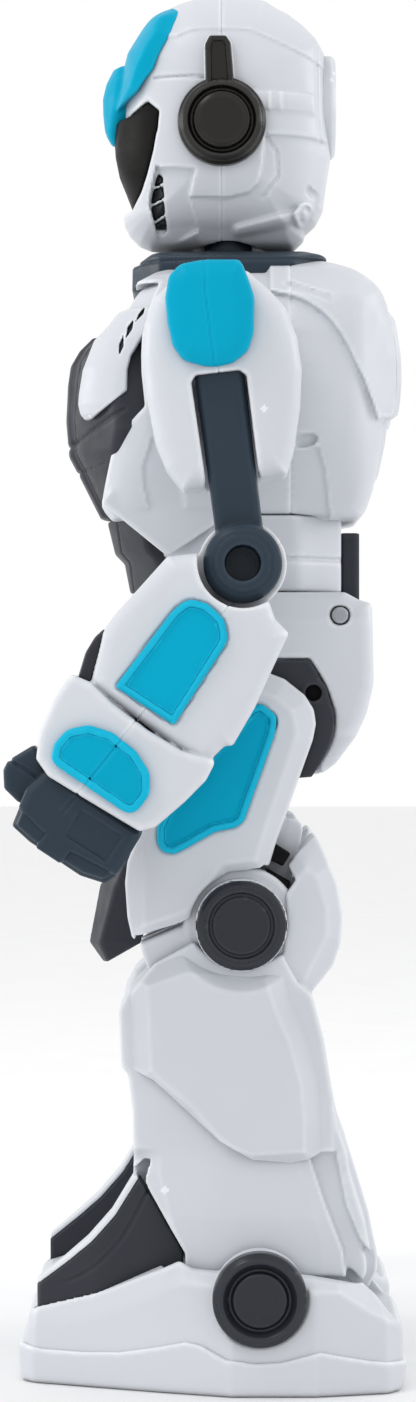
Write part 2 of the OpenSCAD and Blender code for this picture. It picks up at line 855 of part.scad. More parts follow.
module ankle_disc(side) {
    disc_r = 13.3;
    color(black) on_side(side) difference() {
        union() {
            rod(disc_seat + 0.2, 80, ankle_y, ankle_z, disc_r);
            rod(foot_in + 2.2, disc_seat + 1, ankle_y, ankle_z, pin_r);
        }
        rod(78.4, 81, ankle_y, ankle_z, 8.5);
    }
}

module roller(side) {
    color(black) on_side(side) {
        rod(23, 47, roller_y, roller_r, roller_r);
        rod(18.4, 51.6, roller_y, roller_r, axle_r);
    }
}

head_front();
head_rear();
visor();
crest();
ear_cups();
nape_disc();
collar();
neck_post();
chest_shell();
back_shell();
chest_plate();
chest_core();
abdomen();
waist_band();
pelvis_shell();
hip_plates();
crotch_plate();
battery_cells();
battery_door();
control_board();
gear_motors();
power_switch();
shoulder_cap("left");  // shoulder_cap_left
pauldron_front("left");  // pauldron_front_left
pauldron_rear("left");  // pauldron_rear_left
arm_link("left");  // arm_link_left
forearm_front("left");  // forearm_front_left
forearm_rear("left");  // forearm_rear_left
forearm_panel("left");  // forearm_panel_left
cuff_pad("left");  // cuff_pad_left
hand("left");  // hand_left
thigh("left");  // thigh_left
thigh_panel("left");  // thigh_panel_left
knee_hub("left");  // knee_hub_left
shin("left");  // shin_left
calf_plate("left");  // calf_plate_left
foot_shell("left");  // foot_shell_left
sole("left");  // sole_left
toe_fin("left");  // toe_fin_left
ankle_disc("left");  // ankle_disc_left
roller("left");  // roller_left
shoulder_cap("right");  // shoulder_cap_right
pauldron_front("right");  // pauldron_front_right
pauldron_rear("right");  // pauldron_rear_right
arm_link("right");  // arm_link_right
forearm_front("right");  // forearm_front_right
forearm_rear("right");  // forearm_rear_right
forearm_panel("right");  // forearm_panel_right
cuff_pad("right");  // cuff_pad_right
hand("right");  // hand_right
thigh("right");  // thigh_right
thigh_panel("right");  // thigh_panel_right
knee_hub("right");  // knee_hub_right
shin("right");  // shin_right
calf_plate("right");  // calf_plate_right
foot_shell("right");  // foot_shell_right
sole("right");  // sole_right
toe_fin("right");  // toe_fin_right
ankle_disc("right");  // ankle_disc_right
roller("right");  // roller_right
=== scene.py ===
"""Walking humanoid robot toy: every visible moulding is built as a signed distance field and meshed."""
import json
import math

import bpy
import numpy as np
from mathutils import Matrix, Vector


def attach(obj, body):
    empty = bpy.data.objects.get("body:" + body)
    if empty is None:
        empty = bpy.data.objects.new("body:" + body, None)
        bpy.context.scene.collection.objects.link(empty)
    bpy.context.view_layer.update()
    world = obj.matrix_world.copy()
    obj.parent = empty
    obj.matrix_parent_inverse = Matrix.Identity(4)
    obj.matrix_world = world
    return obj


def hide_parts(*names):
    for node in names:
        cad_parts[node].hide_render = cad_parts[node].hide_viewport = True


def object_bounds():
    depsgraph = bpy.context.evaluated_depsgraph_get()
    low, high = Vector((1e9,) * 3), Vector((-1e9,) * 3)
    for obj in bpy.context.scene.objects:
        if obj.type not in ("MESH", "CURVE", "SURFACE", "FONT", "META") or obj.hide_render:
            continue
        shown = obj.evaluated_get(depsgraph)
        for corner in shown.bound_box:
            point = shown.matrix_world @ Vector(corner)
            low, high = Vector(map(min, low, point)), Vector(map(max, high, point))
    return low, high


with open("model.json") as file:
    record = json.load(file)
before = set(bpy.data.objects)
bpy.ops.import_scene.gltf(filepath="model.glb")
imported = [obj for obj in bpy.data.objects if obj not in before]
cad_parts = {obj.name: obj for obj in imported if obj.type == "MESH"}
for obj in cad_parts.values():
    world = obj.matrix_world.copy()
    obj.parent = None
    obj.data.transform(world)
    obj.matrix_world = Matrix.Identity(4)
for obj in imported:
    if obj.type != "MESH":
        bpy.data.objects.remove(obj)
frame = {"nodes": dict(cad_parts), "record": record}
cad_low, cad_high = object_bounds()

MM = 0.001

# ---- camera

bottom, top = cad_low[2], cad_high[2]
height = top - bottom
CAMERA_DISTANCE = 2.892 * height
FRAME_HEIGHT = 1.0374 * height
AIM_HEIGHT = bottom + 0.4822 * height

camera_data = bpy.data.cameras.new("camera")
camera_data.sensor_width = 36
camera_data.lens = 36 * CAMERA_DISTANCE / FRAME_HEIGHT
camera_data.clip_start = 0.05
camera = bpy.data.objects.new("camera", camera_data)
bpy.context.scene.collection.objects.link(camera)
camera.location = (CAMERA_DISTANCE, 0.0, AIM_HEIGHT)
camera.rotation_euler = (math.radians(90), 0, math.radians(90))
bpy.context.scene.camera = camera

# ---- joint places, in millimetres


def pivot(joint):
    """A joint's pivot as [y, z] in millimetres."""
    for entry in frame["record"]["behaviour"]["joints"]:
        if entry["name"] == joint:
            return np.array(entry["pos_m"][1:]) / MM
    raise KeyError(joint)


SHOULDER = pivot("shoulder_left")
ELBOW = pivot("elbow_left")
HIP = pivot("hip_left")
KNEE = pivot("knee_left")
ANKLE = pivot("ankle_left")
FOREARM_TILT = math.radians(38.9)

# Where the front and rear mouldings meet; the forearm's is measured from the elbow, before its tilt.
HEAD_SEAM = 4
CHEST_SEAM = 24
PAULDRON_SEAM = 3
FOREARM_SEAM = 4.5

NECK = (0, 6)
SWITCH_Z = 312.5
# Side view places of the hip plate's blind hole and the pelvis's grey screw plug.
HIP_BORE = (30, 195.7)
SCREW_PLUG = (37.6, 217.8)
# The middle of the knee's fork and of the thigh's tongue in it.
FORK_X = 38.5

# ---- distance fields


def rounded(points, radius=1.0, steps=5):
    """An outline with each corner turned into an arc; a point's third number sets its own radius."""
    out = []
    count = len(points)
    for i in range(count):
        here = np.array(points[i][:2], float)
        before = np.array(points[i - 1][:2], float) - here
        after = np.array(points[(i + 1) % count][:2], float) - here
        size_b, size_a = np.linalg.norm(before), np.linalg.norm(after)
        r = points[i][2] if len(points[i]) > 2 else radius
        cosine = np.clip(before @ after / (size_b * size_a), -1, 1)
        half = math.acos(cosine) / 2
        if r <= 0 or half > 1.55:
            out.append(here)
            continue
        reach = min(r / math.tan(half), 0.49 * size_b, 0.49 * size_a)
        start, end = here + before / size_b * reach, here + after / size_a * reach
        for t in np.linspace(0, 1, steps + 1):
            out.append((1 - t) ** 2 * start + 2 * t * (1 - t) * here + t**2 * end)
    return np.array(out)


def mirrored(half):
    """A closed outline from its right half."""
    return half + [(-x, y) for x, y in reversed(half)]


def outline_distance(u, v, outline):
    """Signed distance from the points (u, v) to a closed outline, negative inside."""
    best = np.full(u.shape, 1e18)
    inside = np.zeros(u.shape, bool)
    for i in range(len(outline)):
        a, b = outline[i - 1], outline[i]
        edge = b - a
        length2 = max(edge @ edge, 1e-12)
        t = np.clip(((u - a[0]) * edge[0] + (v - a[1]) * edge[1]) / length2, 0, 1)
        best = np.minimum(best, (u - a[0] - t * edge[0]) ** 2 + (v - a[1] - t * edge[1]) ** 2)
        crosses = (a[1] > v) != (b[1] > v)
        if a[1] != b[1]:
            inside ^= crosses & (u < (b[0] - a[0]) * (v - a[1]) / (b[1] - a[1]) + a[0])
    distance = np.sqrt(best)
    return np.where(inside, -distance, distance)


def line_distance(u, v, points):
    """Distance from the points (u, v) to an open line."""
    best = np.full(u.shape, 1e18)
    for a, b in zip(np.array(points[:-1], float), np.array(points[1:], float)):
        edge = b - a
        t = np.clip(((u - a[0]) * edge[0] + (v - a[1]) * edge[1]) / (edge @ edge), 0, 1)
        best = np.minimum(best, (u - a[0] - t * edge[0]) ** 2 + (v - a[1] - t * edge[1]) ** 2)
    return np.sqrt(best)


def curve(points, steps=8):
    """A smooth open line through the points."""
    p = np.array(points, float)
    ends = np.vstack([2 * p[0] - p[1], p, 2 * p[-1] - p[-2]])
    out = []
    for i in range(1, len(ends) - 2):
        a, b, c, d = ends[i - 1 : i + 3]
        for t in np.linspace(0, 1, steps, endpoint=False):
            line = 2 * b + (c - a) * t
            out.append(0.5 * (line + (2 * a - 5 * b + 4 * c - d) * t**2 + (3 * b - a - 3 * c + d) * t**3))
    out.append(p[-1])
    return np.array(out)


def smooth_max(a, b, k):
    """The larger of two fields, with the crease rounded over k."""
    if k <= 0:
        return np.maximum(a, b)
    h = np.clip(k - np.abs(a - b), 0, None) / k
    return np.maximum(a, b) + h * h * k / 4


def smooth_min(a, b, k):
    return -smooth_max(-a, -b, k)


def step(value, edge, soft):
    """0 above the edge, 1 below it, eased over soft."""
    t = np.clip((edge - value) / soft + 0.5, 0, 1)
    return t * t * (3 - 2 * t)


# Shifts every grid, by this part of a cell, off the round numbers where flat faces lie.
OFF_GRID = 0.137


class Field:
    """A block of space sampled on a regular grid, with helpers for side, front and plan outlines.

    x, y and z are the grid's places in millimetres; w is the distance from the middle plane.
    """

    def __init__(self, low, high, size=0.7):
        self.size = size
        margin = 2.5 * size
        self.axes = []
        for a, b in zip(low, high):
            steps = np.arange(math.floor((a - margin) / size), math.ceil((b + margin) / size) + 1)
            self.axes.append(steps * size + OFF_GRID * size)
        self.x = self.axes[0][:, None, None]
        self.y = self.axes[1][None, :, None]
        self.z = self.axes[2][None, None, :]
        self.w = np.abs(self.x)

    def side(self, outline):
        u, v = np.meshgrid(self.axes[1], self.axes[2], indexing="ij")
        return outline_distance(u, v, np.array(outline, float))[None, :, :]

    def front(self, outline):
        u, v = np.meshgrid(self.axes[0], self.axes[2], indexing="ij")
        return outline_distance(u, v, np.array(outline, float))[:, None, :]

    def plan(self, outline):
        u, v = np.meshgrid(self.axes[0], self.axes[1], indexing="ij")
        return outline_distance(u, v, np.array(outline, float))[:, :, None]

    def side_line(self, points):
        u, v = np.meshgrid(self.axes[1], self.axes[2], indexing="ij")
        return line_distance(u, v, points)[None, :, :]

    def front_line(self, points):
        u, v = np.meshgrid(self.axes[0], self.axes[2], indexing="ij")
        return line_distance(u, v, points)[:, None, :]

    def round_x(self, centre, radius):
        """A round bar along X about [y, z]."""
        return np.sqrt((self.y - centre[0]) ** 2 + (self.z - centre[1]) ** 2) - radius

    def round_z(self, centre, radius):
        return np.sqrt((self.x - centre[0]) ** 2 + (self.y - centre[1]) ** 2) - radius

    def round_y(self, centre, radius):
        return np.sqrt((self.x - centre[0]) ** 2 + (self.z - centre[1]) ** 2) - radius

    def slab(self, axis, low, high):
        values = (self.x, self.y, self.z)["xyz".index(axis)]
        return np.maximum(low - values, values - high)

    def full(self, values):
        shape = (len(self.axes[0]), len(self.axes[1]), len(self.axes[2]))
        return np.ascontiguousarray(np.broadcast_to(values, shape), dtype=np.float64)

    def side_at(self, outline, back):
        """The side outline moved back by a distance that varies through the block."""
        u, v = np.broadcast_arrays(self.y - back + 0 * self.z, self.z + 0 * self.y + 0 * self.x)
        return outline_distance(u, v, np.array(outline, float))

    def turned(self, centre, profile, axis="x"):
        """A turned solid; the profile is given as [place along the axis, radius]."""
        along, p, q = {"x": (self.x, self.y, self.z), "y": (self.y, self.x, self.z)}[axis]
        r = np.sqrt((p - centre[0]) ** 2 + (q - centre[1]) ** 2)
        a, r = np.broadcast_arrays(along + 0 * r, r + 0 * along)
        return outline_distance(a, r, np.array(profile, float))


def sample(values, places):
    """Trilinear value of the grid at fractional grid places."""
    low = np.clip(np.floor(places).astype(int), 0, np.array(values.shape) - 2)
    f = places - low
    total = 0
    for i in (0, 1):
        for j in (0, 1):
            for k in (0, 1):
                weight = (
                    (f[:, 0] if i else 1 - f[:, 0])
                    * (f[:, 1] if j else 1 - f[:, 1])
                    * (f[:, 2] if k else 1 - f[:, 2])
                )
                total = total + weight * values[low[:, 0] + i, low[:, 1] + j, low[:, 2] + k]
    return total


def skin(field, values):
    """Vertices in millimetres and quads on the field's zero surface, facing outward."""
    v = field.full(values)
    inside = v < 0
    corners = [(i, j, k) for i in (0, 1) for j in (0, 1) for k in (0, 1)]
    shape = np.array(v.shape) - 1

    def corner(block, c):
        return block[c[0] : c[0] + shape[0], c[1] : c[1] + shape[1], c[2] : c[2] + shape[2]]

    count = sum(corner(inside, c).astype(np.int8) for c in corners)
    cells = np.argwhere((count > 0) & (count < 8))
    index = np.full(shape, -1, np.int64)
    index[tuple(cells.T)] = np.arange(len(cells))
    at = {c: v[cells[:, 0] + c[0], cells[:, 1] + c[1], cells[:, 2] + c[2]] for c in corners}
    total = np.zeros((len(cells), 3))
    hits = np.zeros(len(cells))
    for a in corners:
        for axis in range(3):
            if a[axis]:
                continue
            b = tuple(1 if n == axis else a[n] for n in range(3))
            cross = (at[a] < 0) != (at[b] < 0)
            t = np.where(cross, at[a] / np.where(cross, at[a] - at[b], 1), 0)
            for n in range(3):
                total[:, n] += np.where(cross, a[n] + (t if n == axis else 0), 0)
            hits += cross
    places = cells + total / hits[:, None]
    for _ in range(3):
        here = sample(v, places)
        slope = np.stack(
            [(sample(v, places + d) - sample(v, places - d)) / 0.8 for d in np.eye(3) * 0.4], axis=1
        )
        move = -here[:, None] * slope / np.maximum((slope**2).sum(1), 0.05 * field.size**2)[:, None]
        long = np.linalg.norm(move, axis=1, keepdims=True)
        places = places + move * np.minimum(1, 0.35 / np.maximum(long, 1e-9))
    points = np.stack([field.axes[n][0] + places[:, n] * field.size for n in range(3)], axis=1)
    quads = []
    for axis in range(3):
        o1, o2 = (axis + 1) % 3, (axis + 2) % 3
        lo = [slice(None)] * 3
        hi = [slice(None)] * 3
        lo[axis], hi[axis] = slice(0, -1), slice(1, None)
        first, second = inside[tuple(lo)], inside[tuple(hi)]
        for start, flip in ((first & ~second, False), (~first & second, True)):
            edges = np.argwhere(start)
            edges = edges[(edges[:, o1] > 0) & (edges[:, o2] > 0)]
            edges = edges[(edges[:, o1] < v.shape[o1] - 1) & (edges[:, o2] < v.shape[o2] - 1)]
            ring = []
            for d1, d2 in ((1, 1), (0, 1), (0, 0), (1, 0)):
                cell = edges.copy()
                cell[:, o1] -= d1
                cell[:, o2] -= d2
                ring.append(index[tuple(cell.T)])
            quad = np.stack(ring, axis=1)
            quads.append(quad[:, ::-1] if flip else quad)
    return points, np.vstack(quads)


def build_mesh(name, points, quads, tilt=None, mirror=False):
    """A smooth-shaded object from points in millimetres; mirror makes the right-hand one."""
    p = points.copy()
    if tilt is not None:
        y, z = p[:, 1].copy(), p[:, 2].copy()
        p[:, 1] = ELBOW[0] + y * math.cos(tilt) + z * math.sin(tilt)
        p[:, 2] = ELBOW[1] - y * math.sin(tilt) + z * math.cos(tilt)
    q = quads
    if mirror:
        p[:, 0] *= -1
        q = quads[:, ::-1]
    mesh = bpy.data.meshes.new(name)
    mesh.vertices.add(len(p))
    mesh.vertices.foreach_set("co", (p * MM).astype(np.float32).ravel())
    mesh.loops.add(q.size)
    mesh.loops.foreach_set("vertex_index", q.astype(np.int32).ravel())
    mesh.polygons.add(len(q))
    mesh.polygons.foreach_set("loop_start", np.arange(0, q.size, 4, dtype=np.int32))
    mesh.polygons.foreach_set("use_smooth", np.ones(len(q), bool))
    mesh.update(calc_edges=True)
    mesh.validate()
    piece = bpy.data.objects.new(name, mesh)
    bpy.context.scene.collection.objects.link(piece)
    return piece


def pillow(side, x, half, radius, power=2.2):
    """A bulged body: full width where the side outline is deeper than radius, closing up to its edge."""
    inward = np.clip(1 + side / radius, 0, None)
    return ((inward**power + (np.abs(x) / half) ** power) ** (1 / power) - 1) * radius * 0.8


def shield(field, face, top, slope):
    """Flat outside face inside the outline, falling away round it."""
    return (field.x - top + slope * np.clip(field.side(face), 0, None)) / math.sqrt(1 + slope**2)


def inside_of(distance, soft=0.5):
    """1 inside an outline, 0 outside, eased over soft."""
    return step(distance, 0, soft)


def near(value, place, reach, soft):
    """1 within reach of a place, 0 further off, eased over soft."""
    return step(np.abs(value - place), reach, soft)


def beyond(x, edge, soft=3.0):
    """1 where x is further from the middle than edge."""
    return step(-np.abs(x), -edge, soft)


def inset(mask, depth, field, outline, soft):
    """How far the surface drops inside a side outline."""
    return mask * depth * inside_of(field.side(outline), soft)


def groove(field, line, width, depth, soft=0.7):
    return depth * step(field.side_line(line), width / 2, soft)


def all_of(parts):
    """The common part of several fields."""
    total = parts[0]
    for part in parts[1:]:
        total = np.maximum(total, part)
    return total


def any_of(parts):
    """The union of several fields."""
    total = parts[0]
    for part in parts[1:]:
        total = np.minimum(total, part)
    return total


def cut(values, hole, k=0.5):
    return smooth_max(values, -hole, k)


def join(a, b, k=0.5):
    return smooth_min(a, b, k)


def both(a, b, k=0.5):
    return smooth_max(a, b, k)


# ---- materials


def linear(red, green, blue):
    """Linear colour from 0-255 display values."""
    out = []
    for c in (red, green, blue):
        c = c / 255
        out.append(c / 12.92 if c <= 0.04045 else ((c + 0.055) / 1.055) ** 2.4)
    return out


def plastic(name, colour, rough=0.42, edge=0.3, grain=0.25, cloud=0.035, crevice_shade=0.5, metal=0.0, coat=0.0,
        gloss=0.4, turn=0.0):
    """Moulded plastic: faint cloudiness, fine grain, soft waviness, paler edges as painted highlight and
    darker creases as painted shade.
    """
    look = bpy.data.materials.new(name)
    look.use_nodes = True
    tree = look.node_tree
    shader = tree.nodes["Principled BSDF"]
    shader.inputs["Metallic"].default_value = metal
    shader.inputs["Specular IOR Level"].default_value = gloss
    shader.inputs["Coat Weight"].default_value = coat
    shader.inputs["Coat Roughness"].default_value = 0.25
    base = np.array(linear(*colour))

    def node(kind, **settings):
        made = tree.nodes.new("ShaderNode" + kind)
        for key, value in settings.items():
            setattr(made, key, value)
        return made

    def ramp(factor, low, high, low_colour, high_colour):
        made = node("ValToRGB")
        made.color_ramp.elements[0].position, made.color_ramp.elements[1].position = low, high
        made.color_ramp.elements[0].color = (*low_colour, 1)
        made.color_ramp.elements[1].color = (*high_colour, 1)
        tree.links.new(factor, made.inputs["Fac"])
        return made.outputs["Color"]

    def noise(scale, detail, place):
        made = node("TexNoise")
        made.inputs["Scale"].default_value = scale
        made.inputs["Detail"].default_value = detail
        tree.links.new(place, made.inputs["Vector"])
        return made.outputs["Fac"]

    def bump(strength, distance, height):
        made = node("Bump")
        made.inputs["Strength"].default_value = strength
        made.inputs["Distance"].default_value = distance
        tree.links.new(height, made.inputs["Height"])
        return made

    place = node("Mapping")
    place.inputs["Location"].default_value = (turn, turn * 0.7, turn * 1.3)
    tree.links.new(node("TexCoord").outputs["Object"], place.inputs["Vector"])
    place = place.outputs["Vector"]
    body = ramp(noise(22, 3, place), 0.3, 0.7, base * (1 - cloud), np.minimum(base * (1 + cloud), 1))
    # Pointiness lightens sharp edges toward a paler colour: a painted highlight.
    edge_highlight = ramp(node("NewGeometry").outputs["Pointiness"], 0.505, 0.56, (0, 0, 0), (edge, edge, edge))
    pale = node("MixRGB")
    pale.inputs["Color2"].default_value = (*np.minimum(base * 1.5 + 0.03, 1), 1)
    tree.links.new(edge_highlight, pale.inputs["Fac"])
    tree.links.new(body, pale.inputs["Color1"])
    # Ambient occlusion darkens creases, grooves and gaps between parts: painted shade.
    shade = node("AmbientOcclusion", samples=6)
    shade.inputs["Distance"].default_value = 0.004
    dim = 1 - crevice_shade
    joint = ramp(shade.outputs["AO"], 0.15, 0.8, (dim, dim, dim), (1, 1, 1))
    crease_shaded = node("MixRGB", blend_type="MULTIPLY")
    crease_shaded.inputs["Fac"].default_value = 1
    tree.links.new(pale.outputs["Color"], crease_shaded.inputs["Color1"])
    tree.links.new(joint, crease_shaded.inputs["Color2"])
    tree.links.new(crease_shaded.outputs["Color"], shader.inputs["Base Color"])
    low, high = rough - 0.05, rough + 0.06
    mottle = ramp(noise(160, 4, place), 0.35, 0.65, (low,) * 3, (high,) * 3)
    tree.links.new(mottle, shader.inputs["Roughness"])
    fine = bump(grain, 0.00003, noise(3200, 2, place))
    wavy = bump(0.35, 0.0004, noise(35, 1, place))
    tree.links.new(fine.outputs["Normal"], wavy.inputs["Normal"])
    tree.links.new(wavy.outputs["Normal"], shader.inputs["Normal"])
    return look


WHITE = plastic("white_plastic", (206, 209, 215), 0.40, edge=0.55, crevice_shade=0.36)
TEAL = plastic("teal_plastic", (0, 162, 196), 0.36, edge=0.35, crevice_shade=0.35, gloss=0.06, turn=1.1)
# A lighter copy of the teal for panel rims: a painted highlight on their bevels.
TEAL_RIM_HIGHLIGHT = plastic("teal_rim_plastic", (4, 172, 205), 0.32, edge=0.4, crevice_shade=0.3, gloss=0.1, turn=1.7)
SLATE = plastic("slate_plastic", (36, 51, 64), 0.38, edge=0.5, crevice_shade=0.6, gloss=0.25, turn=2.3)
DARK = plastic("dark_plastic", (50, 52, 59), 0.46, edge=0.45, gloss=0.2, turn=3.1)
CUP = plastic("cup_plastic", (24, 22, 19), 0.3, edge=0.6, crevice_shade=0.85, gloss=0.3, turn=4.2)
DISC = plastic("disc_plastic", (31, 34, 42), 0.3, edge=0.6, crevice_shade=0.85, gloss=0.35, turn=5.0)
BLACK = plastic("socket_black", (8, 8, 10), 0.6, edge=0.05, gloss=0.1, turn=5.6)
SMOKED = plastic("smoked_visor", (22, 21, 20), 0.42, edge=0.05, grain=0.05, gloss=0.05, turn=6.4)
GREY = plastic("grey_screw", (150, 153, 158), 0.35, edge=0.4, metal=0.6, turn=7.2)
METAL = plastic("motor_metal", (150, 150, 152), 0.35, edge=0.4, metal=0.9, turn=8.1)
BOARD = plastic("board_laminate", (28, 96, 58), 0.4, edge=0.2, turn=9.3)
WRAP = plastic("battery_wrap", (20, 130, 150), 0.3, edge=0.2, coat=0.4, turn=10.0)
RUBBER = plastic("roller_rubber", (34, 34, 36), 0.75, edge=0.15, grain=0.6, turn=11.0)


# ---- pieces


def halves(f, shell, seam_y, gap=0.08, lip_depth=0.3):
    """Front and rear mouldings of a shell; the rear one has a lip that closes the seam behind the gap."""
    front = smooth_max(shell, f.y - seam_y + gap / 2, 0.15)
    rear = smooth_max(shell, seam_y + gap / 2 - f.y, 0.15)
    lip = np.maximum(shell + lip_depth, np.abs(f.y - seam_y) - 1.2)
    return front, np.minimum(rear, lip)


def add(name, field, values, body, look, node=None, tilt=None):
    """One piece that stands for a CAD node, or its left and right copies where the name holds SIDE.

    The node is the piece's own name without _form, where none is given.
    """
    node = node or name.replace("_form", "")
    points, quads = skin(field, values)
    for side in ("left", "right") if "SIDE" in name else ("",):
        piece = build_mesh(name.replace("SIDE", side), points, quads, tilt, side == "right")
        piece.data.materials.append(look)
        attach(piece, body.replace("SIDE", side))
        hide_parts(node.replace("SIDE", side))


def add_halves(name, f, shell, seam_y, body, tilt=None):
    """A shell's front and rear mouldings; the name holds {} for which one."""
    for part, values in zip(("front", "rear"), halves(f, shell, seam_y)):
        add(name.format(part), f, values, body, WHITE, tilt=tilt)


# ---- head

HEAD_SIDE = rounded([
    (-24.9, 336.3), (-24.7, 334.4), (-23.2, 331.4), (-20.3, 328.4), (-16.8, 326.9), (-10.9, 326.4),
    (24.9, 326.4), (28.4, 329.8), (28.6, 331.4), (32, 334.5), (34, 338.5), (34.7, 344), (36.2, 353.4),
    (36.2, 372), (34.4, 384.7), (31.9, 389.2), (28.5, 392.6), (24, 396.1), (20.6, 397.8), (17.2, 400),
    (13.2, 401), (6.8, 401.1), (-0.6, 400.9), (-5.5, 400.2), (-10.4, 398.5), (-18, 393), (-23.5, 384),
    (-24.7, 372), (-24.6, 350),
], 1.5)
WINDOW = [
    (-60, 337.2), (-22.3, 337.2), (-19.4, 342.1), (-17.7, 346.9), (-16, 353.2), (-15.1, 358),
    (-14.6, 359.7), (-14.1, 364.9), (-17.5, 368.1), (-22.8, 364.7), (-60, 362),
]
CHEEK = [(-15, 349), (-13.6, 348.3), (-3.9, 347.8), (-5.6, 340.1), (-3, 331.4), (-10.2, 328),
    (-14.1, 327.8), (-17.2, 338.2), (-16.4, 343)]
VENTS = [
    [(-14.2, 347), (-13.2, 345.9), (-13.2, 344.4), (-15.6, 343.4), (-14.9, 345.9)],
    [(-15.9, 342.5), (-13.2, 343.4), (-12.8, 340.2), (-16.6, 338.5)],
    [(-16.6, 337.6), (-12.9, 339.1), (-12.6, 335.8), (-15.8, 333.9)],
    [(-15.6, 333.1), (-12.5, 334.8), (-12.1, 331.7), (-14.4, 329.3)],
]
CRANIUM_BAND = [(-8.8, 386.1), (-4.4, 387.8), (-1, 388), (6.7, 388), (12, 387.5), (16.8, 385.8),
    (22.1, 383.4), (33, 379)]
JAW = [(-5.4, 340.1), (5.7, 339.7), (12, 341.1), (14.6, 343.7), (15.6, 346.4), (16.1, 350.2), (16.6, 357.5),
       (40, 357.5), (40, 318), (1, 318), (-3.2, 332.4)]
HOSE = [(9, 331), (15.8, 332.5), (22.6, 334.3), (27.9, 335.8)]


def plain_helmet(f):
    """The helmet before its window and trim; half is its half width at each height."""
    half = np.interp(f.z, [326, 334, 345, 358, 376, 390, 402], [20.5, 24.6, 27.4, 29, 29, 28.6, 28])
    return pillow(f.side(HEAD_SIDE), f.x, half, 24, 2.4)


def head_body(f):
    """The helmet before it is split, with its window, cheeks and raised trim."""
    v = plain_helmet(f)
    sides = beyond(f.x, 12, 6)
    v = v + sides * groove(f, curve(CRANIUM_BAND), 0.6, 0.3)
    cap = [(-12, 386.5)] + CRANIUM_BAND + [(40, 379), (40, 410), (-20, 410)]
    v = v - inset(sides, 0.35, f, cap, 0.8)
    v = v + inset(sides, 1.1, f, JAW, 0.8)
    v = v + inset(sides, 1.5, f, CHEEK, 0.8)
    v = v + sides * groove(f, [(-15.7, 374.6), (-5.8, 374.4), (-1, 374)], 0.7, 0.6)
    v = v - sides * groove(f, curve(HOSE), 3.0, 1.3, 2.0)
    v = v - sides * 1.0 * step(np.abs(f.side_line([(28.2, 335.2), (28.8, 336)]) - 2.6), 0.7, 0.8)
    v = v + sides * groove(f, [(29.8, 343), (32.2, 341), (31.4, 335.8), (27.4, 329.5)], 2.0, 1.4, 1.2)
    v = v + sides * groove(f, [(16.6, 357.5), (20, 353), (20.5, 346), (16, 340)], 0.8, 0.5)
    ribs = 0.3 * near(f.y, 17.7, 0.6, 0.5) + 0.3 * near(f.y, 21.1, 0.6, 0.5)
    tube = f.side([(12, 364.4), (31.4, 364), (31.2, 370), (12, 370.2)])
    round_top = np.sqrt(np.clip(9 - (f.z - 367.2) ** 2, 0, None)) * 0.3 + ribs
    v = v - sides * round_top * inside_of(tube, 0.5)
    v = v + sides * groove(f, [(31.5, 384), (32, 364), (33, 357)], 0.9, 0.3)
    v = cut(v, f.side(WINDOW), 0.6)
    neck = np.maximum(f.round_z(NECK, 10.2), f.z - 337)
    return cut(v, neck, 0.8)


def head():
    f = Field((-30, -26, 326), (30, 37.5, 401.5), 0.6)
    v = head_body(f)
    cells = any_of([f.side(cell) for cell in VENTS])
    cells = np.maximum(cells, 12 - f.w)
    shell = cut(v, np.maximum(cells - 0.1, -v - 2.6), 0.3)
    add_halves("head_{}_form", f, shell, HEAD_SEAM, "head")
    vents = all_of([v + 0.7, -v - 2.5, cells + 0.1])
    add("cheek_vents", f, vents, "head", DISC, "head_front")


def visor():
    f = Field((-26, -29, 336), (26, -12, 370), 0.55)
    front = np.interp(f.z, [337, 339.8, 344.2, 348.6, 354.5, 359, 364.5, 369],
                      [-21.6, -22.7, -24.4, -26.2, -27.4, -27.7, -27.4, -26.6])
    bulge = front + 12.8 * (f.w / 25) ** 2.4 - f.y
    v = both(bulge * 0.8, f.side(WINDOW) + 0.2, 0.8)
    add("visor_form", f, both(v, f.w - 25, 1), "head", SMOKED)


WING = [
    (-25.7, 379.7), (-23.5, 385), (-20.1, 390.4), (-15.7, 394.3), (-12.8, 395.9), (-10.3, 396.5),
    (-8.6, 394.6), (-9.1, 391.9), (-10.8, 387.5), (-13.3, 383.1), (-14.7, 380.2), (-15.9, 377),
    (-18.6, 373.8), (-20.6, 370.9), (-23, 369.4), (-25.5, 367.7), (-29, 366), (-31, 372), (-30, 379.7),
]
BOSS = rounded([
    (-26.2, 381.3), (-28.1, 380.3), (-30.1, 376.4), (-31.2, 371.9), (-31.1, 367), (-30.6, 362.6),
    (-30, 360.7), (-28.5, 358), (-27.4, 357.8), (-24, 360), (-20, 368), (-20, 381),
], 0.6)


def crest():
    f = Field((-27, -32, 357), (27, -8, 398.5), 0.5)
    skull = plain_helmet(f)
    spread = np.interp(f.z, [362, 370, 378, 388, 396], [25, 26.5, 26.5, 25, 20])
    valley = np.interp(f.z, [362, 372, 380, 390, 397], [0, 2, 5, 9, 12])
    ridge = f.side_line([(-13.8, 391.5), (-15.6, 387.4), (-18.5, 382.8), (-21, 377.9), (-22.9, 372.5),
        (-26.3, 367.7)])
    facet = 1.5 - 0.34 * np.minimum(ridge, 5)
    wings = both(skull - 0.9 - facet, f.side(rounded(WING, 1.2)), 0.6)
    wings = both(wings, valley - f.w, 1.2)
    wings = both(wings, f.w - spread, 1.0)
    wings = both(wings, -(skull + 1.2), 0)
    boss = f.side_at(BOSS, 0.05 * f.x**2)
    shape = mirrored([(-2, 357.5), (-5.5, 362), (-9.5, 370), (-8.5, 377), (-5, 381.8)])
    boss = both(boss, f.front(rounded(shape, 1.5)), 1.2)
    add("crest_form", f, join(wings, boss, 0.6), "head", TEAL)


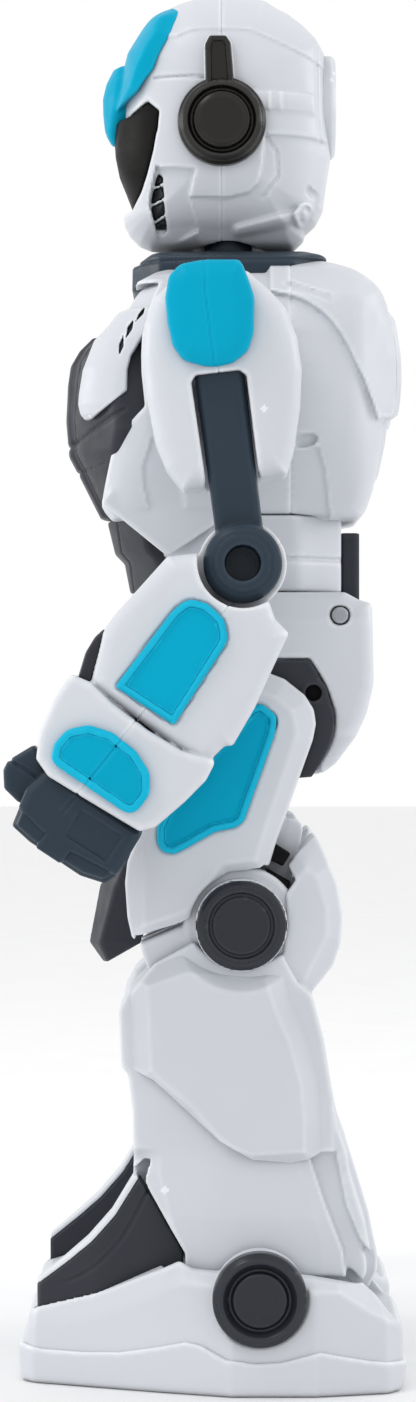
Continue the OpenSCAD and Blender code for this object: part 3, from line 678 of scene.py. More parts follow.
def ear_cups():
    f = Field((27, -9, 348), (36, 17, 374), 0.4)
    cup = rounded([(27.5, 0, 0), (27.5, 12.8, 0.3), (31.4, 12.8, 0.5), (32.2, 12.0, 0.3), (33.6, 11.6, 0.4),
        (34.8, 10.4, 0.4), (34.6, 9.9, 0.2), (33.0, 9.2, 0.3), (33.0, 8.4, 0.2), (34.9, 8.0, 0.4),
        (35.6, 6.6, 0.6), (35.4, 0, 0)])
    cup_v = f.turned((4, 361), cup)
    stub_f = Field((26.5, -2, 368), (33.5, 9, 387), 0.35)
    outline = rounded([(-0.6, 368.5), (-0.9, 383.1), (0.4, 385.8), (5.2, 385.8), (6.6, 383.6),
        (7.8, 368.5)], 0.8)
    edge = stub_f.side(outline)
    lean = 32.8 - 0.09 * np.clip(stub_f.z - 372, 0, None)
    stub = both(both(edge, stub_f.x - lean, 1.2) + 0.8 * step(edge, -1.7, 0.6), 26.8 - stub_f.x, 0.2)
    # A thin white sliver round the stub, a little wider and set lower: a painted highlight along the head's
    # edge there.
    stub_highlight = both(both(edge - 0.4, stub_f.x - lean + 2.4, 0.3), 26.8 - stub_f.x, 0.2)
    add("ear_cup_SIDE", f, cup_v, "head", CUP, "ear_cups")
    add("ear_stub_SIDE", stub_f, stub, "head", CUP, "ear_cups")
    add("ear_trim_SIDE", stub_f, stub_highlight, "head", WHITE, "ear_cups")


def nape_disc():
    f = Field((-16, 33, 353), (16, 39, 386), 0.45)
    dish = rounded([(33.5, 0, 0), (33.5, 15.3, 0.2), (36.6, 15.3, 0.9), (37.6, 14, 0.5), (37.6, 12.6, 0.4),
                    (36.7, 12, 0.4), (36.6, 6, 0.3), (37.2, 5, 0.6), (37.3, 0, 0)])
    add("nape_disc_form", f, f.turned((0, 369.3), dish, "y"), "head", WHITE)


# ---- torso

TORSO_SIDE = rounded([
    (-12, 321.6), (-22, 313.4), (-30.5, 303), (-33, 290), (-31, 276), (-31, 250), (-28, 244.6), (40, 244.6),
    (44.6, 245.8), (47.7, 254.5), (50.9, 267.9), (52.1, 276.1), (53.3, 276.7), (54, 278.9), (55.2, 286),
    (54.8, 292.2), (52.4, 301.7), (48.5, 310.3), (41.4, 317.5), (33, 321.6),
], 1.5)
TORSO_FRONT = mirrored([(38, 244.6), (41, 256), (47, 274), (52, 290), (51.5, 300), (46, 308.5), (34, 316.5),
    (14, 323)])
TORSO_PLAN = mirrored([(26, -36), (36, -31), (46, -18), (52, -4), (52, 26), (46, 42), (30, 54.5), (12, 58)])
CHEST_EDGE = [
    (-60, 243), (-31.5, 243), (-30.8, 250.5), (-27.6, 265), (-21.8, 273.8), (-18, 277.6), (-19, 287),
    (-19.1, 292.3), (-18.8, 297.7), (-17, 305), (-14, 313.6), (-60, 313.6),
]
ARROW = [(-15.7, 268.7), (-18.6, 260.5), (-18.5, 256), (-16.5, 247.6), (-7, 243.9), (-7.4, 253.4)]
BACK_GROOVE = [(17.6, 310.3), (26, 308), (33.4, 303), (38.5, 296.3), (42.1, 289.5), (45.2, 283.3),
    (48.6, 274.4)]
LOWER_PANEL = [(5, 265.7), (31.4, 265.7), (33.4, 259.4), (34.8, 246.5), (33, 243), (5, 243)]
POCKET = [(25.5, 269.3), (30, 269.6), (31.3, 268.5), (30.3, 266.5), (25.5, 265.8)]


def torso():
    f = Field((-52.5, -35, 234), (52.5, 56, 322.5), 0.75)
    v = both(f.side(TORSO_SIDE), f.front(rounded(TORSO_FRONT, 6)), 5)
    v = both(v, f.plan(rounded(TORSO_PLAN, 8)), 5)
    sides = beyond(f.x, 30, 4)
    v = v + inset(sides, 0.9, f, ARROW, 0.7)
    flap = curve(BACK_GROOVE).tolist() + [(60, 276.2), (60, 330), (17, 330)]
    v = v - beyond(f.x, 20, 8) * 2.0 * inside_of(f.side(flap), 1.0)
    v = v + sides * groove(f, [(22.9, 312.8), (34.5, 308.3)], 1.6, 0.8)
    v = v + inset(sides, 1.2, f, LOWER_PANEL, 0.8)
    v = v + inset(sides, 2.2, f, POCKET, 0.6)
    door = all_of([f.w - 32, np.abs(f.z - 281) - 25, 40 - f.y])
    slot = all_of([f.w - 6.6, np.abs(f.z - SWITCH_Z) - 3.6, 40 - f.y])
    neck = f.round_z(NECK, 8)
    closed, rear = halves(f, v, CHEST_SEAM)
    front = cut(cut(closed, f.side(CHEST_EDGE), 0.5), neck)
    skirt = f.side(rounded([(-30.8, 250.5), (-11.6, 234.9), (2, 244), (2, 250), (-28, 254)], 0.6))
    skirt = both(skirt, np.abs(f.w - 37.3) - 1.2, 0.8)
    add("chest_shell_form", f, join(front, skirt, 0.4), "torso", WHITE)
    back = cut(cut(cut(rear, door - 0.3), slot), neck)
    add("back_shell_form", f, back, "torso", WHITE)
    stripes = 0.9 * step(np.abs(np.mod(f.z, 3.0) - 1.5), 0.7, 0.5)
    ribs = stripes * near(f.z, 299, 5, 1) * step(f.w, 9, 1)
    screw = 1.6 * step(f.round_y((0, 261.5), 0), 2.6, 0.6)
    panel = both(v + ribs + screw, door, 0.8)
    rim = -0.5 * step(np.abs(door + 2.2), 0.8, 0.6)
    add("battery_door_form", f, panel + rim * step(-v, 1.5, 1), "torso", WHITE)


CORE_SIDE = [(-34.4, 300.2), (-38.2, 296.4), (-40.7, 292.1), (-41.5, 286.5), (-42, 276), (-41.1, 265.5),
    (-38.1, 259.9), (-31.8, 247.4), (-24, 246), (-12, 262), (-14, 300)]


def chest_core():
    f = Field((-44, -43, 246), (44, -10, 301), 0.65)
    width = np.interp(f.z, [247, 256, 272, 284, 300], [33, 36, 43, 41, 37])
    fall = 15 * (f.w / 43) ** 2.2 - 1.2 * step(f.w, 11, 2) + 1.2
    v = both(f.side_at(CORE_SIDE, fall), f.w - width, 2)
    v = v + groove(f, [(-45, 266.5), (-36, 270), (-24, 277)], 0.9, 0.8)
    v = v + groove(f, [(-45, 259.5), (-30, 262)], 0.8, 0.6)
    v = v + 0.8 * step(np.abs(f.w - 13 - 0.12 * (f.z - 250)), 0.5, 0.6)
    v = both(v, f.y + 10, 0.3)
    add("chest_core_form", f, v, "torso", DARK)


PLATE_SIDE = [(-11.5, 316.5), (-19.6, 312.2), (-21.4, 310), (-23.1, 306.9), (-26.2, 305.8), (-28.9, 302.3),
    (-33.2, 297.7), (-36.5, 289.2), (-37.6, 282.2), (-37.8, 279.2), (-37.2, 276.4), (-35.7, 274.6),
    (-33.9, 274.4), (-23.1, 282.2), (-23, 288.4), (-22, 292.3), (-18.6, 297.6), (-14.5, 299.5),
    (-10, 308.1)]
VENT_SHIFT = [1.0, 0]
DIAMONDS = [
    [(-16.9, 306.9), (-18.9, 304.4), (-20, 301.7), (-17.4, 304.4)],
    [(-20.2, 303.1), (-22, 300.8), (-22.7, 296.7), (-20.6, 300)],
    [(-23.2, 298.6), (-24.5, 295.5), (-24.6, 291.8), (-23.1, 295)],
]


def breast_plate():
    f = Field((-45, -39, 273), (45, -8, 318), 0.46)
    wrap = 13 * np.clip((f.w - 27) / 16, 0, None) ** 2.2
    front = f.side_at(PLATE_SIDE[:13] + [(20, 274), (20, 317)], wrap)
    v = both(front, f.side(rounded(PLATE_SIDE, 0.8)), 0.8)
    v = both(v, f.w - 43, 2)
    notch = np.maximum(f.w - np.interp(f.z, [273, 286, 301], [17, 15, 8]), f.z - 301)
    v = cut(v, notch, 1.2)
    cells = any_of([f.side(np.array(cell) - VENT_SHIFT) for cell in DIAMONDS]) + 0.05
    cells = np.maximum(cells, 28 - f.w)
    add("chest_plate_form", f, cut(v, cells, 0.2), "torso", WHITE)
    dark = f.side(rounded([(-15, 310), (-22, 307), (-27, 298), (-27.5, 288), (-23.4, 288), (-19, 298.6)],
        0.5))
    dark = both(both(dark, np.abs(f.w - 34) - 7.5, 0.5), v + 1.2, 0.3)
    add("chest_vents", f, dark, "torso", DISC, "chest_plate")


def collar():
    f = Field((-34, -23, 311), (34, 36, 326.5), 0.6)
    ring = rounded([(-22.5, 313.4), (-22.3, 320.3), (-15.1, 324.4), (-10.9, 325.5), (28.1, 325.6),
        (35, 322.3), (35, 319.5), (20, 312), (-12, 312)], 0.5)
    plan = rounded(mirrored([(14, -22.8), (26, -14), (33, 2), (33, 24), (22, 35)]), 4)
    v = both(f.side(ring), f.plan(plan), 1.5)
    v = both(v, f.z - 325.6 + 0.2 * np.clip(f.w - 13, 0, None), 1)
    v = v + 0.5 * near(f.z, 321.0, 0.3, 0.5)
    add("collar_form", f, cut(v, f.round_z(NECK, 8.4), 0.8), "torso", SLATE)


def abdomen():
    f = Field((-30, -33, 225), (30, -11, 249), 0.6)
    belly = [(-29.8, 246.2), (-27.5, 236.8), (-24.7, 233.9), (-23, 225.3), (-12, 225.3), (-12, 246.2)]
    v = both(f.side_at(belly, 10 * (f.w / 30) ** 2), f.w - 29.5, 1)
    v = v + 0.7 * step(np.abs(f.w - 10 - 0.3 * (f.z - 225)), 0.5, 0.6)
    v = both(v, f.y + 12, 0.3)
    add("abdomen_form", f, v, "torso", DARK)


def waist():
    f = Field((-37, -14.5, 222), (37, 45, 248), 0.7)
    plan = mirrored([(30, -13.6), (36, 0), (36, 26), (22, 39)])
    v = both(f.plan(rounded(plan, 5)), f.slab("z", 224.9, 247), 0.8)
    v = v + 0.9 * near(f.z, 234.5, 0.6, 0.6) * beyond(f.x, 20, 4)
    v = both(v, f.y - 38.9, 0.4)
    add("waist_band_form", f, v, "torso", WHITE)
    spine = f.side(rounded([(37, 223), (39.4, 223), (43.2, 222.4), (44.3, 222.3), (44.3, 242.6),
        (37, 242.6)], 0.5))
    spine = both(spine, f.w - 16.8, 1)
    spine = spine + 0.8 * step(np.abs(np.mod(f.z, 5.0) - 2.5), 0.7, 0.5) * step(f.w, 12, 1)
    add("spine_cover", f, cut(spine, f.y - 39.0, 0), "torso", DARK, "waist_band")


PELVIS_SIDE = rounded([
    (-21.5, 224.6), (-22.5, 212), (-19.5, 196), (-12, 186), (4, 178), (30, 172), (32.4, 172), (36.9, 175.5),
    (42.3, 183.1), (45.4, 190), (47.3, 198.4), (47, 214.4), (46.9, 221.3), (43.1, 222.4), (39.2, 224.6),
], 1.2)
HIP_RIM = curve([(29, 205.5), (32.7, 199.5), (35.4, 192.8), (36.3, 188), (35.4, 181.6), (32.6, 175.2),
    (32.4, 172)]).tolist()
SKIRT_CUT = [(-60, 150), (-60, 205.5), *HIP_RIM, (32, 150)]


def pelvis():
    f = Field((-49, -23.5, 170), (49, 48, 225.5), 0.7)
    front = mirrored([(30, 166), (46, 184), (48.2, 200), (48.2, 216), (44, 228)])
    v = both(f.side(PELVIS_SIDE), f.front(rounded(front, 5)), 4)
    v = cut(v, np.maximum(f.side(SKIRT_CUT), 16.5 - f.w), 0.8)
    v = cut(v, np.maximum(f.round_x(SCREW_PLUG, 2.8), 44 - f.w), 0.3)
    v = cut(v, all_of([f.w - 16, f.y + 15.6, f.z - 206]), 0.5)
    add("pelvis_shell_form", f, v, "torso", WHITE)


def hip_plates():
    f = Field((44.5, 8, 172), (49.5, 42, 221), 0.45)
    rim = curve([(29, 204.9), (32.3, 199), (35, 192.6), (35.9, 188), (35, 181.8), (32.1, 175.6)]).tolist()
    plate = [(12, 205), *rim, (29.5, 171.8), (24.5, 171.4), (20, 180), (12, 182)]
    v = both(f.side(plate), f.slab("x", 45.9, 48.7), 0.5)
    v = join(v, both(f.round_x(HIP_BORE, 4.0), f.slab("x", 46, 48.9), 0.4), 0.3)
    v = cut(cut(v, f.round_x(HIP_BORE, 2.3), 0.3), f.round_x((16.5, 187.4), 3), 0.2)
    add("hip_plate_SIDE", f, v, "torso", DARK, "hip_plates")
    socket = np.maximum(f.round_x(HIP_BORE, 2.6), f.slab("x", 45.2, 46.9))
    add("hip_socket_SIDE", f, socket, "torso", BLACK, "hip_plates")
    plug = both(f.round_x(SCREW_PLUG, 2.4), f.slab("x", 45, 48.6), 0.7)
    add("hip_screw_SIDE", f, plug, "torso", GREY, "hip_plates")


def crotch():
    f = Field((-15, -36, 115), (15, -14, 207), 0.6)
    side = [(-16.2, 205), (-22.6, 205), (-24, 176), (-27.5, 150), (-32, 138.9), (-35.2, 122), (-30.9, 116),
            (-22.5, 122.4), (-19, 150), (-16.2, 176)]
    face = mirrored([(-3, 115.5), (-10, 122), (-14, 140), (-14, 206)])
    v = both(f.side_at(side, 0.32 * f.w), f.front(rounded(face, 1)), 0.8)
    v = v + 0.8 * step(np.abs(f.z - 140 - 0.5 * f.w), 0.6, 0.6)
    add("crotch_plate_form", f, v, "torso", DARK)


def power_switch():
    f = Field((-5, 43, 309), (5, 51.5, 316), 0.3)
    grip = 0.7 * step(np.abs(np.mod(f.x, 1.6) - 0.8), 0.35, 0.3)
    knob = all_of([f.w - 2.9, np.abs(f.z - SWITCH_Z) - 2.4, f.y - 48.2 + grip, 44 - f.y])
    base = all_of([f.w - 4.4, np.abs(f.z - SWITCH_Z) - 2.9, np.abs(f.y - 44.9) - 1.2])
    add("switch_knob", f, np.minimum(knob, base), "switch", CUP, "power_switch")


# ---- arms

PAULDRON = rounded([
    (-6.8, 251.6), (-11.6, 257.6), (-14.6, 265), (-17, 277), (-18.1, 288), (-17.6, 297), (-14.6, 304.4),
    (-8, 311), (2, 313.6), (11, 311.6), (17.2, 306.2), (21.5, 301.5), (24.6, 293.5), (25.9, 284.7),
    (25.4, 274), (23.6, 261.6), (21.8, 255.8), (18, 255.4), (6, 252),
], 1.2)
ARM_SLOT = rounded([(-4.6, 280.6), (-3.4, 282.6), (8.6, 284.0), (10.5, 282.6), (15.2, 245), (0.7, 245)],
    0.6)


def pauldrons():
    f = Field((54.5, -18.5, 251), (93, 27, 314.5), 0.65)
    dome = 92 - 0.0022 * ((f.y - 3) ** 2 * 2.0 + (f.z - 287) ** 2 * 0.5)
    v = both(both(f.side(PAULDRON), f.x - dome, 7), 55 - f.x, 5)
    v = cut(v, np.maximum(f.side(ARM_SLOT), 63 - f.x), 0.8)
    v = cut(v, np.maximum(f.round_x(SHOULDER, 6.5), f.x - 64))
    v = cut(v, np.maximum(f.round_x(SHOULDER, 4.3), f.x - 83))
    add_halves("pauldron_{}_SIDE_form", f, v, PAULDRON_SEAM, "arm_SIDE")


CAP = rounded([(-1, 313.8), (8.4, 313.8), (9.5, 312.4), (11.6, 307), (12.7, 303.4), (12.5, 294),
    (10.9, 288.9), (6.9, 285.7), (2.2, 284.6), (-1, 284.8), (-6.8, 286.4), (-9.6, 290.4), (-11.1, 296.9),
    (-11.7, 303.4), (-10.7, 309.4), (-7.5, 312.6)], 4)
CAP_SEAM = [(-1.1, 314.5), (-0.9, 305.8), (0.2, 296.9), (1.8, 284)]


def shoulder_cap():
    f = Field((88, -13, 284), (98.5, 13.5, 314.5), 0.45)
    edge = f.side(CAP)
    dome = 0.075 * np.clip(edge + 5.5, 0, None) ** 2 + 0.0018 * (f.z - 299) ** 2
    v = both(both(edge, f.x - 97.9 + dome, 1.0), 90 - f.x, 0.2)
    v = v + step(f.side_line(CAP_SEAM), 0.2, 0.4) * 0.4
    add("shoulder_cap_SIDE_form", f, v, "arm_SIDE", TEAL)


def arm_link():
    f = Field((66, -7, 219.5), (97.5, 21, 309), 0.6)
    strap = rounded([(-6, 299), (7, 299), (10, 283), (15.2, 239.9), (14, 234), (4, 234), (2.1, 239.1),
        (-3.6, 281.5)], 0.6)
    edge = f.side(strap)
    strap = both(both(edge, f.x - 89.3 + 0.8 * np.clip(edge + 1.3, 0, None), 0.4), 84 - f.x, 0.4)
    hub = both(f.round_x(SHOULDER, 9), f.slab("x", 66.5, 89.2), 0.6)
    hub = cut(hub, np.maximum(f.round_x(SHOULDER, 4.05), f.x - 82.4), 0.1)
    r = f.round_x(ELBOW, 0)
    ring = both(both(r - 10.8, f.x - 97 + 0.8 * np.clip(r - 8.2, 0, None), 0.5), 84 - f.x, 0.4)
    ring = ring + 0.5 * step(np.abs(r - 8.2), 0.3, 0.4)
    pin = both(r - 4, f.slab("x", 69, 85), 0.4)
    v = join(np.minimum(np.minimum(strap, hub), pin), ring, 0.8)
    v = cut(v, np.maximum(r - 4.9, 87 - f.x), 0.4)
    add("arm_link_SIDE_form", f, v, "arm_SIDE", SLATE)


FOREARM = rounded([
    (-10.6, -5), (-17.1, -11.6), (-17.7, -22.9), (-18.3, -32.7), (-17.9, -39), (-11.7, -52), (26.6, -50),
    (27.4, -42), (29.1, -40.4), (27.3, -28.7), (25.1, -20.2), (21.8, -7), (16.4, -6.4), (11.3, -3.2),
], 1.0)
CUFF = rounded([(-11.7, -51.2), (-17.4, -52.8), (-16.6, -61.3), (-13.7, -71.2), (-10.2, -76.7),
    (-4.7, -78.3), (23.9, -74.4), (26.6, -70.8), (28.5, -60.4), (29.3, -52.3), (28.3, -47.5), (27.2, -46.6),
    (19.2, -50.1), (8.2, -51.6), (-3.6, -51.9)], 0.8)
PANEL = rounded([(-5.8, -48, 0.8), (13.2, -46.1, 0.8), (10.2, -19), (5.8, -15.2), (-0.5, -14.8),
    (-5.6, -17), (-6.6, -22.6)], 5)
PAD = rounded([(-6.6, -74.7), (-8.9, -70.5), (-8.6, -65.1), (-4.9, -60.5), (1.4, -58), (9.7, -57.9),
    (16.1, -60.1), (19.8, -64.6), (20.2, -72.5)], 4.5)


def forearms():
    f = Field((61.5, -19, -79), (105.5, 30, 14), 0.65)
    arch = -0.0035 * (f.y - FOREARM_SEAM) ** 2
    body = both(both(f.side(FOREARM), f.x - 102.4 - arch, 5), 66 - f.x, 4)
    body = body + beyond(f.x, 98, 2) * 0.6 * inside_of(f.side(PANEL) - 0.25, 0.3)
    roof = 105 - 0.09 * np.abs(f.y - FOREARM_SEAM) - 0.05 * np.clip(FOREARM_SEAM - f.y, 0, None)
    cuff = both(both(f.side(CUFF), f.x - roof, 2.2), 62 - f.x, 3.5)
    knuckle = both(f.round_x((0, 0), 12.2), f.slab("x", 70, 83.6), 0.8)
    v = join(join(body, knuckle, 0.8), cuff, 0.5)
    v = cut(v, np.maximum(f.round_x((0, 0), 12.4), 83.6 - f.x), 0.6)
    v = cut(v, np.maximum(f.round_x((0, 0), 14.3), np.abs(f.x - 86.8) - 3.2), 0.4)
    v = cut(v, np.maximum(f.round_x((0, 0), 4.1), f.x - 84), 0.1)
    hollow = f.side(rounded([(-20, -35), (-14.5, -44), (-10.5, -53), (-22, -53)], 0.5))
    v = cut(v, np.maximum(hollow, np.abs(f.x - 84) - 14), 0.4)
    add_halves("forearm_{}_SIDE_form", f, v, FOREARM_SEAM, "forearm_SIDE", FOREARM_TILT)
    dark = f.side(rounded([(-18, -36.5), (-14.3, -43.5), (-10.6, -52.6), (-15.4, -52.4), (-18, -46),
        (-18.7, -41)], 0.6))
    dark = both(dark, np.abs(f.x - 84) - 13.7, 1)
    add("wrist_vent_SIDE", f, dark, "forearm_SIDE", DISC, "forearm_front_SIDE", FOREARM_TILT)


def rimmed(name, f, outline, top, floor, body, tilt=None, rim=2.0, rise=0.9, line=0):
    """A trim panel: a raised rim round a face set lower inside it; the rim's lighter teal is a painted
    highlight.
    """
    edge = f.side(outline)
    sunk = f.x - top + rise * step(edge, -rim - 0.4, 1.0)
    face = both(np.maximum(edge + rim, sunk), floor - f.x, 0.1)
    border = both(both(edge, f.x - top + 0.8 * np.clip(edge + 0.9, 0, None), 0.4), floor - f.x, 0.1)
    border = both(border + rise * step(edge, -rim, 1.2), -edge - rim - 0.15, 0.1)
    add(name + "_face", f, face + line, body, TEAL, name, tilt)
    add(name + "_rim", f, border + line, body, TEAL_RIM_HIGHLIGHT, name, tilt)


def forearm_panel():
    f = Field((100, -10, -50), (105, 15, -13), 0.4)
    rimmed("forearm_panel_SIDE", f, PANEL, 104.4, 100.6, "forearm_SIDE", FOREARM_TILT)


def cuff_pad():
    f = Field((102.5, -11, -77), (109, 22, -56), 0.45)
    roof = 108.2 - 0.07 * np.abs(f.y - FOREARM_SEAM) - 0.05 * np.clip(FOREARM_SEAM - f.y, 0, None)
    line = 0.5 * near(f.y, FOREARM_SEAM, 0.2, 0.4)
    rimmed("cuff_pad_SIDE", f, PAD, roof, 103, "forearm_SIDE", FOREARM_TILT, 2.2, 0.7, line)


def hands():
    f = Field((69.5, -17, -97), (100.5, 27.5, -73), 0.42)
    fist = rounded([(-7.3, -84.9), (-4.1, -95.4), (2.4, -95.8), (19, -94.3), (25.5, -91.8), (26.6, -88.5),
        (26.2, -83.3), (25, -74.8), (22.5, -74.5), (-6, -77)], 1.2)
    edge = f.side(fist)
    roof = 100 - 0.10 * np.abs(f.y - FOREARM_SEAM)
    v = both(both(edge, f.x - roof + 0.7 * np.clip(edge + 1.6, 0, None), 0.4), 70 - f.x, 3)
    v = v + 0.9 * step(3.75 - np.abs(np.mod(f.x - 70, 7.5) - 3.75), 0.5, 0.8) * step(f.z, -84, 3)
    outer = beyond(f.x, 94, 2)
    v = v + inset(outer, 1.3, f, [(-9, -90), (4.4, -91), (4.4, -99), (-9, -99)], 0.5)
    v = v + inset(outer, 1.3, f, [(13, -90.5), (28, -87.5), (28, -99), (12.4, -99)], 0.5)
    v = v + outer * groove(f, [(4.5, -74), (4.5, -97)], 0.5, 0.6)
    v = v + inset(outer, 0.7, f, [(8, -80), (21, -78.5), (22, -86.5), (9, -88)], 0.5)
    thumb = f.side(rounded([(-13.4, -74.5), (-16.2, -82.2), (-15.6, -85.1), (-12.2, -88.9), (-6.4, -89.5),
        (-4.6, -80), (-8, -75.5)], 1.0))
    thumb = both(thumb, np.abs(f.x - 85) - 6.8, 2)
    thumb = thumb + 0.6 * step(f.side_line([(-17, -82), (-6, -80.5)]), 0.4, 0.5)
    add("hand_SIDE_form", f, join(v, thumb, 0.8), "forearm_SIDE", SLATE, tilt=FOREARM_TILT)


# ---- legs

THIGH_OUTER = rounded([(12, 201), (16.5, 201.6), (21.6, 199.7), (27.4, 195.1), (30, 191), (30.6, 187),
    (29.7, 182.4), (19.3, 153.5), (17.2, 146.4), (11.1, 145.2), (3.2, 143.3), (-3.3, 132.9), (-7.2, 130.6),
    (-17.6, 127.7), (-21.3, 125.6), (-22.8, 132.2), (-23.5, 142), (-22.8, 148), (-19.8, 155.5), (-16, 170),
    (-9, 182), (2.5, 187.4), (3.5, 193), (7, 198.5)], 1.0)
THIGH_FACE = [(15, 195.9), (19.3, 194.5), (23.9, 190.5), (24.7, 187), (25, 183.6), (22.7, 176.6),
    (16.4, 158.2), (13.5, 148.6), (4, 147.5), (-6, 134), (-18.3, 130), (-18.3, 150), (-12, 168), (2, 184),
    (8, 194)]
THIGH_PANEL = rounded([(12.4, 192.2), (15.5, 192.6), (19.3, 189.3), (19.3, 187), (18.7, 183.6),
    (10.1, 159.4), (7.8, 157.7), (2, 156.5), (-6.1, 151.9), (-9.5, 150.2), (-13, 150.8), (-14.4, 153.6),
    (-14.4, 157.7), (-10, 168)], 2.5)


def thighs():
    f = Field((17.5, -24.5, 117), (59, 33, 202.5), 0.7)
    v = both(f.side(THIGH_OUTER), shield(f, THIGH_FACE, 58, 0.7), 0.8)
    v = both(v, 18 - f.x, 4)
    v = v + beyond(f.x, 54, 2) * 0.4 * inside_of(f.side(THIGH_PANEL) - 0.2, 0.4)
    v = cut(v, np.maximum(f.round_x(KNEE, 18), np.abs(f.x - 37.9) - 17.5), 0.6)
    v = cut(v, np.maximum(f.round_x(KNEE, 14.4), 55 - f.x), 0.5)
    v = cut(v, np.maximum(f.round_x(HIP, 25), np.abs(f.x - 47.6) - 2.2), 0.3)
    v = cut(v, all_of([f.round_x(KNEE, 30), np.abs(f.x - 39.2) - 16, f.z - 141, f.y - 9]), 0.5)
    tongue = f.side(rounded([(0, 160), (28, 160), (22, 135), (16, 119.5), (3, 119.5), (-3, 130)], 4))
    below = np.where(f.z > KNEE[1], -9, f.round_x(KNEE, 12))
    tongue = all_of([tongue, np.abs(f.x - FORK_X) - 6.4, below])
    v = join(v, both(tongue, f.side(THIGH_OUTER) - 14, 0), 0.6)
    v = cut(v, f.round_x(KNEE, 3.1), 0.1)
    v = cut(v, f.round_x(HIP, 3.1), 0.1)
    add("thigh_SIDE_form", f, v, "thigh_body_SIDE", WHITE)


def thigh_panel():
    f = Field((56, -15.5, 149), (60, 20, 193.5), 0.45)
    rimmed("thigh_panel_SIDE", f, THIGH_PANEL, 59.6, 56.8, "thigh_body_SIDE")


FAN = rounded([(30.5, 155.7), (25.4, 150.4), (22.6, 147), (24.8, 142.8), (21.8, 138.6), (22.4, 130),
    (20, 116), (16, 110), (28.6, 110), (35.5, 118.4), (37.7, 125.2), (38.1, 132.8), (36.6, 142),
    (32.8, 151.1)], 0.8)
KNEE_SLOTS = [
    [(16.6, 145.9), (23.7, 141.9), (21.4, 138.9), (15.8, 142.6)],
    [(18.6, 153.2), (23.4, 150.2), (21.2, 146.6), (17.2, 148.6)],
]
FAN_FACE = [(27.9, 146.1), (30.8, 144), (33.7, 135.1), (33.7, 127.2), (25.8, 111.5), (10, 112), (20, 138)]
KNEE_BAND = [(-21.4, 124.2), (-3.7, 131.7), (6, 128), (6, 112), (-22.4, 111.7)]


def knees():
    f = Field((20.5, -23, 109), (64.5, 27, 147.5), 0.6)
    r = f.round_x(KNEE, 0)
    hub = both(r - 16.5, f.slab("x", 21, 55), 1.5)
    band = both(f.side(rounded(KNEE_BAND, 0.8)), f.slab("x", 24, 54.5), 2)
    band = both(band, r - 29.2, 0.4)
    hub = join(hub, band, 0.6)
    hub = cut(hub, np.abs(f.x - FORK_X) - 7, 0.4)
    ring = both(r - 13, f.slab("x", 54, 62.2), 0.6)
    hub = join(hub, ring, 0.4)
    hub = join(hub, both(r - 2.95, f.slab("x", 30, 47), 0.1), 0.1)
    add("knee_hub_SIDE_form", f, cut(hub, np.maximum(r - 12.5, 60.6 - f.x), 0.2), "shin_body_SIDE", WHITE)
    # Black pieces filling the two slots at the knee fan's front edge.
    slot_fill_f = Field((29, 15, 138), (55, 25, 154), 0.5)
    slot_fills = any_of([slot_fill_f.side(slot_outline) for slot_outline in KNEE_SLOTS])
    slot_fills = both(slot_fills, np.abs(slot_fill_f.x - 42) - 12, 0.3)
    add("knee_stop_SIDE", slot_fill_f, slot_fills, "shin_body_SIDE", BLACK, "knee_hub_SIDE")
    disc = rounded([(60.8, 0, 0), (60.8, 12.4, 0.1), (62.8, 12.7, 0.5), (64, 11.2, 0.6), (64, 9.5, 0.4),
        (62.9, 8.9, 0.3), (62.9, 8.4, 0.3), (63.5, 7.9, 0.4), (63.3, 0, 0)])
    disc_f = Field((60, -4, 117), (64.5, 23, 144), 0.4)
    add("knee_disc_SIDE", disc_f, disc_f.turned(KNEE, disc), "shin_body_SIDE", DISC, "knee_hub_SIDE")


SHIN = rounded([(-22.5, 111.5), (-18.8, 115.1), (-15.1, 119.3), (-4.1, 125.5), (2, 120), (12, 118),
    (21.1, 122), (25.3, 114.1), (29.5, 110.4), (32.7, 98.3), (35, 84), (37.5, 72.8), (41.7, 61.3),
    (45.9, 47.6), (46.7, 43), (48.3, 36), (48.3, 31.4), (45.9, 26.4), (43.6, 25.4), (40.9, 27.2),
    (38.5, 30), (33, 31.6), (-6, 31.6), (-6.8, 34.2), (-14.9, 48.4), (-21.4, 57.6), (-21, 63.6),
    (-21.3, 77.9), (-22.6, 88.2), (-24.5, 90.1), (-25.2, 106.2)], 0.8)
LOW_FACE = [(-13.7, 78), (-13.7, 60.5), (-7, 33.6), (-6.6, 30), (60, 30), (60, 78)]
STRIP = [(24.3, 66), (28.5, 53.8), (31.8, 42.6), (32.9, 24), (60, 24), (60, 66)]
CHANNEL = [(28.6, 66), (33.1, 52.4), (38, 39.7), (40.2, 24), (44, 24), (47, 30), (48, 34.8), (42.5, 42.2),
    (38.7, 51.4), (35.8, 66)]
VANE = [(35.8, 80), (35.8, 66), (38.7, 51.4), (42.5, 42.2), (48.5, 34.6), (60, 34), (60, 80)]
CALF_FACE = [(-17.1, 113.1), (-16.6, 101.6), (-16.1, 89.6), (-13.7, 87.1), (-4.1, 79), (3.2, 70.5),
    (6.4, 67.8), (12.4, 65.9), (27.2, 66.8), (27.2, 75.6), (26.2, 86), (23, 97.5), (18.9, 106.8),
    (16.3, 115.2), (5, 116), (-6, 117)]
CALF_OUTER = rounded([(-22.3, 110.6), (-24.6, 105.6), (-24, 90.8), (-15.5, 86.8), (-10.8, 82.6),
    (-3.3, 75.5), (3.4, 69.5), (12.4, 64.3), (23.6, 63.1), (28.5, 64.3), (33.3, 66.9), (35.2, 75.5),
    (34.6, 86), (32.4, 98.3), (29.2, 110), (25.1, 113.8), (20.8, 121.5), (12, 119), (2, 121), (-4.1, 125),
    (-15.1, 118.8), (-18.8, 114.8)], 0.8)


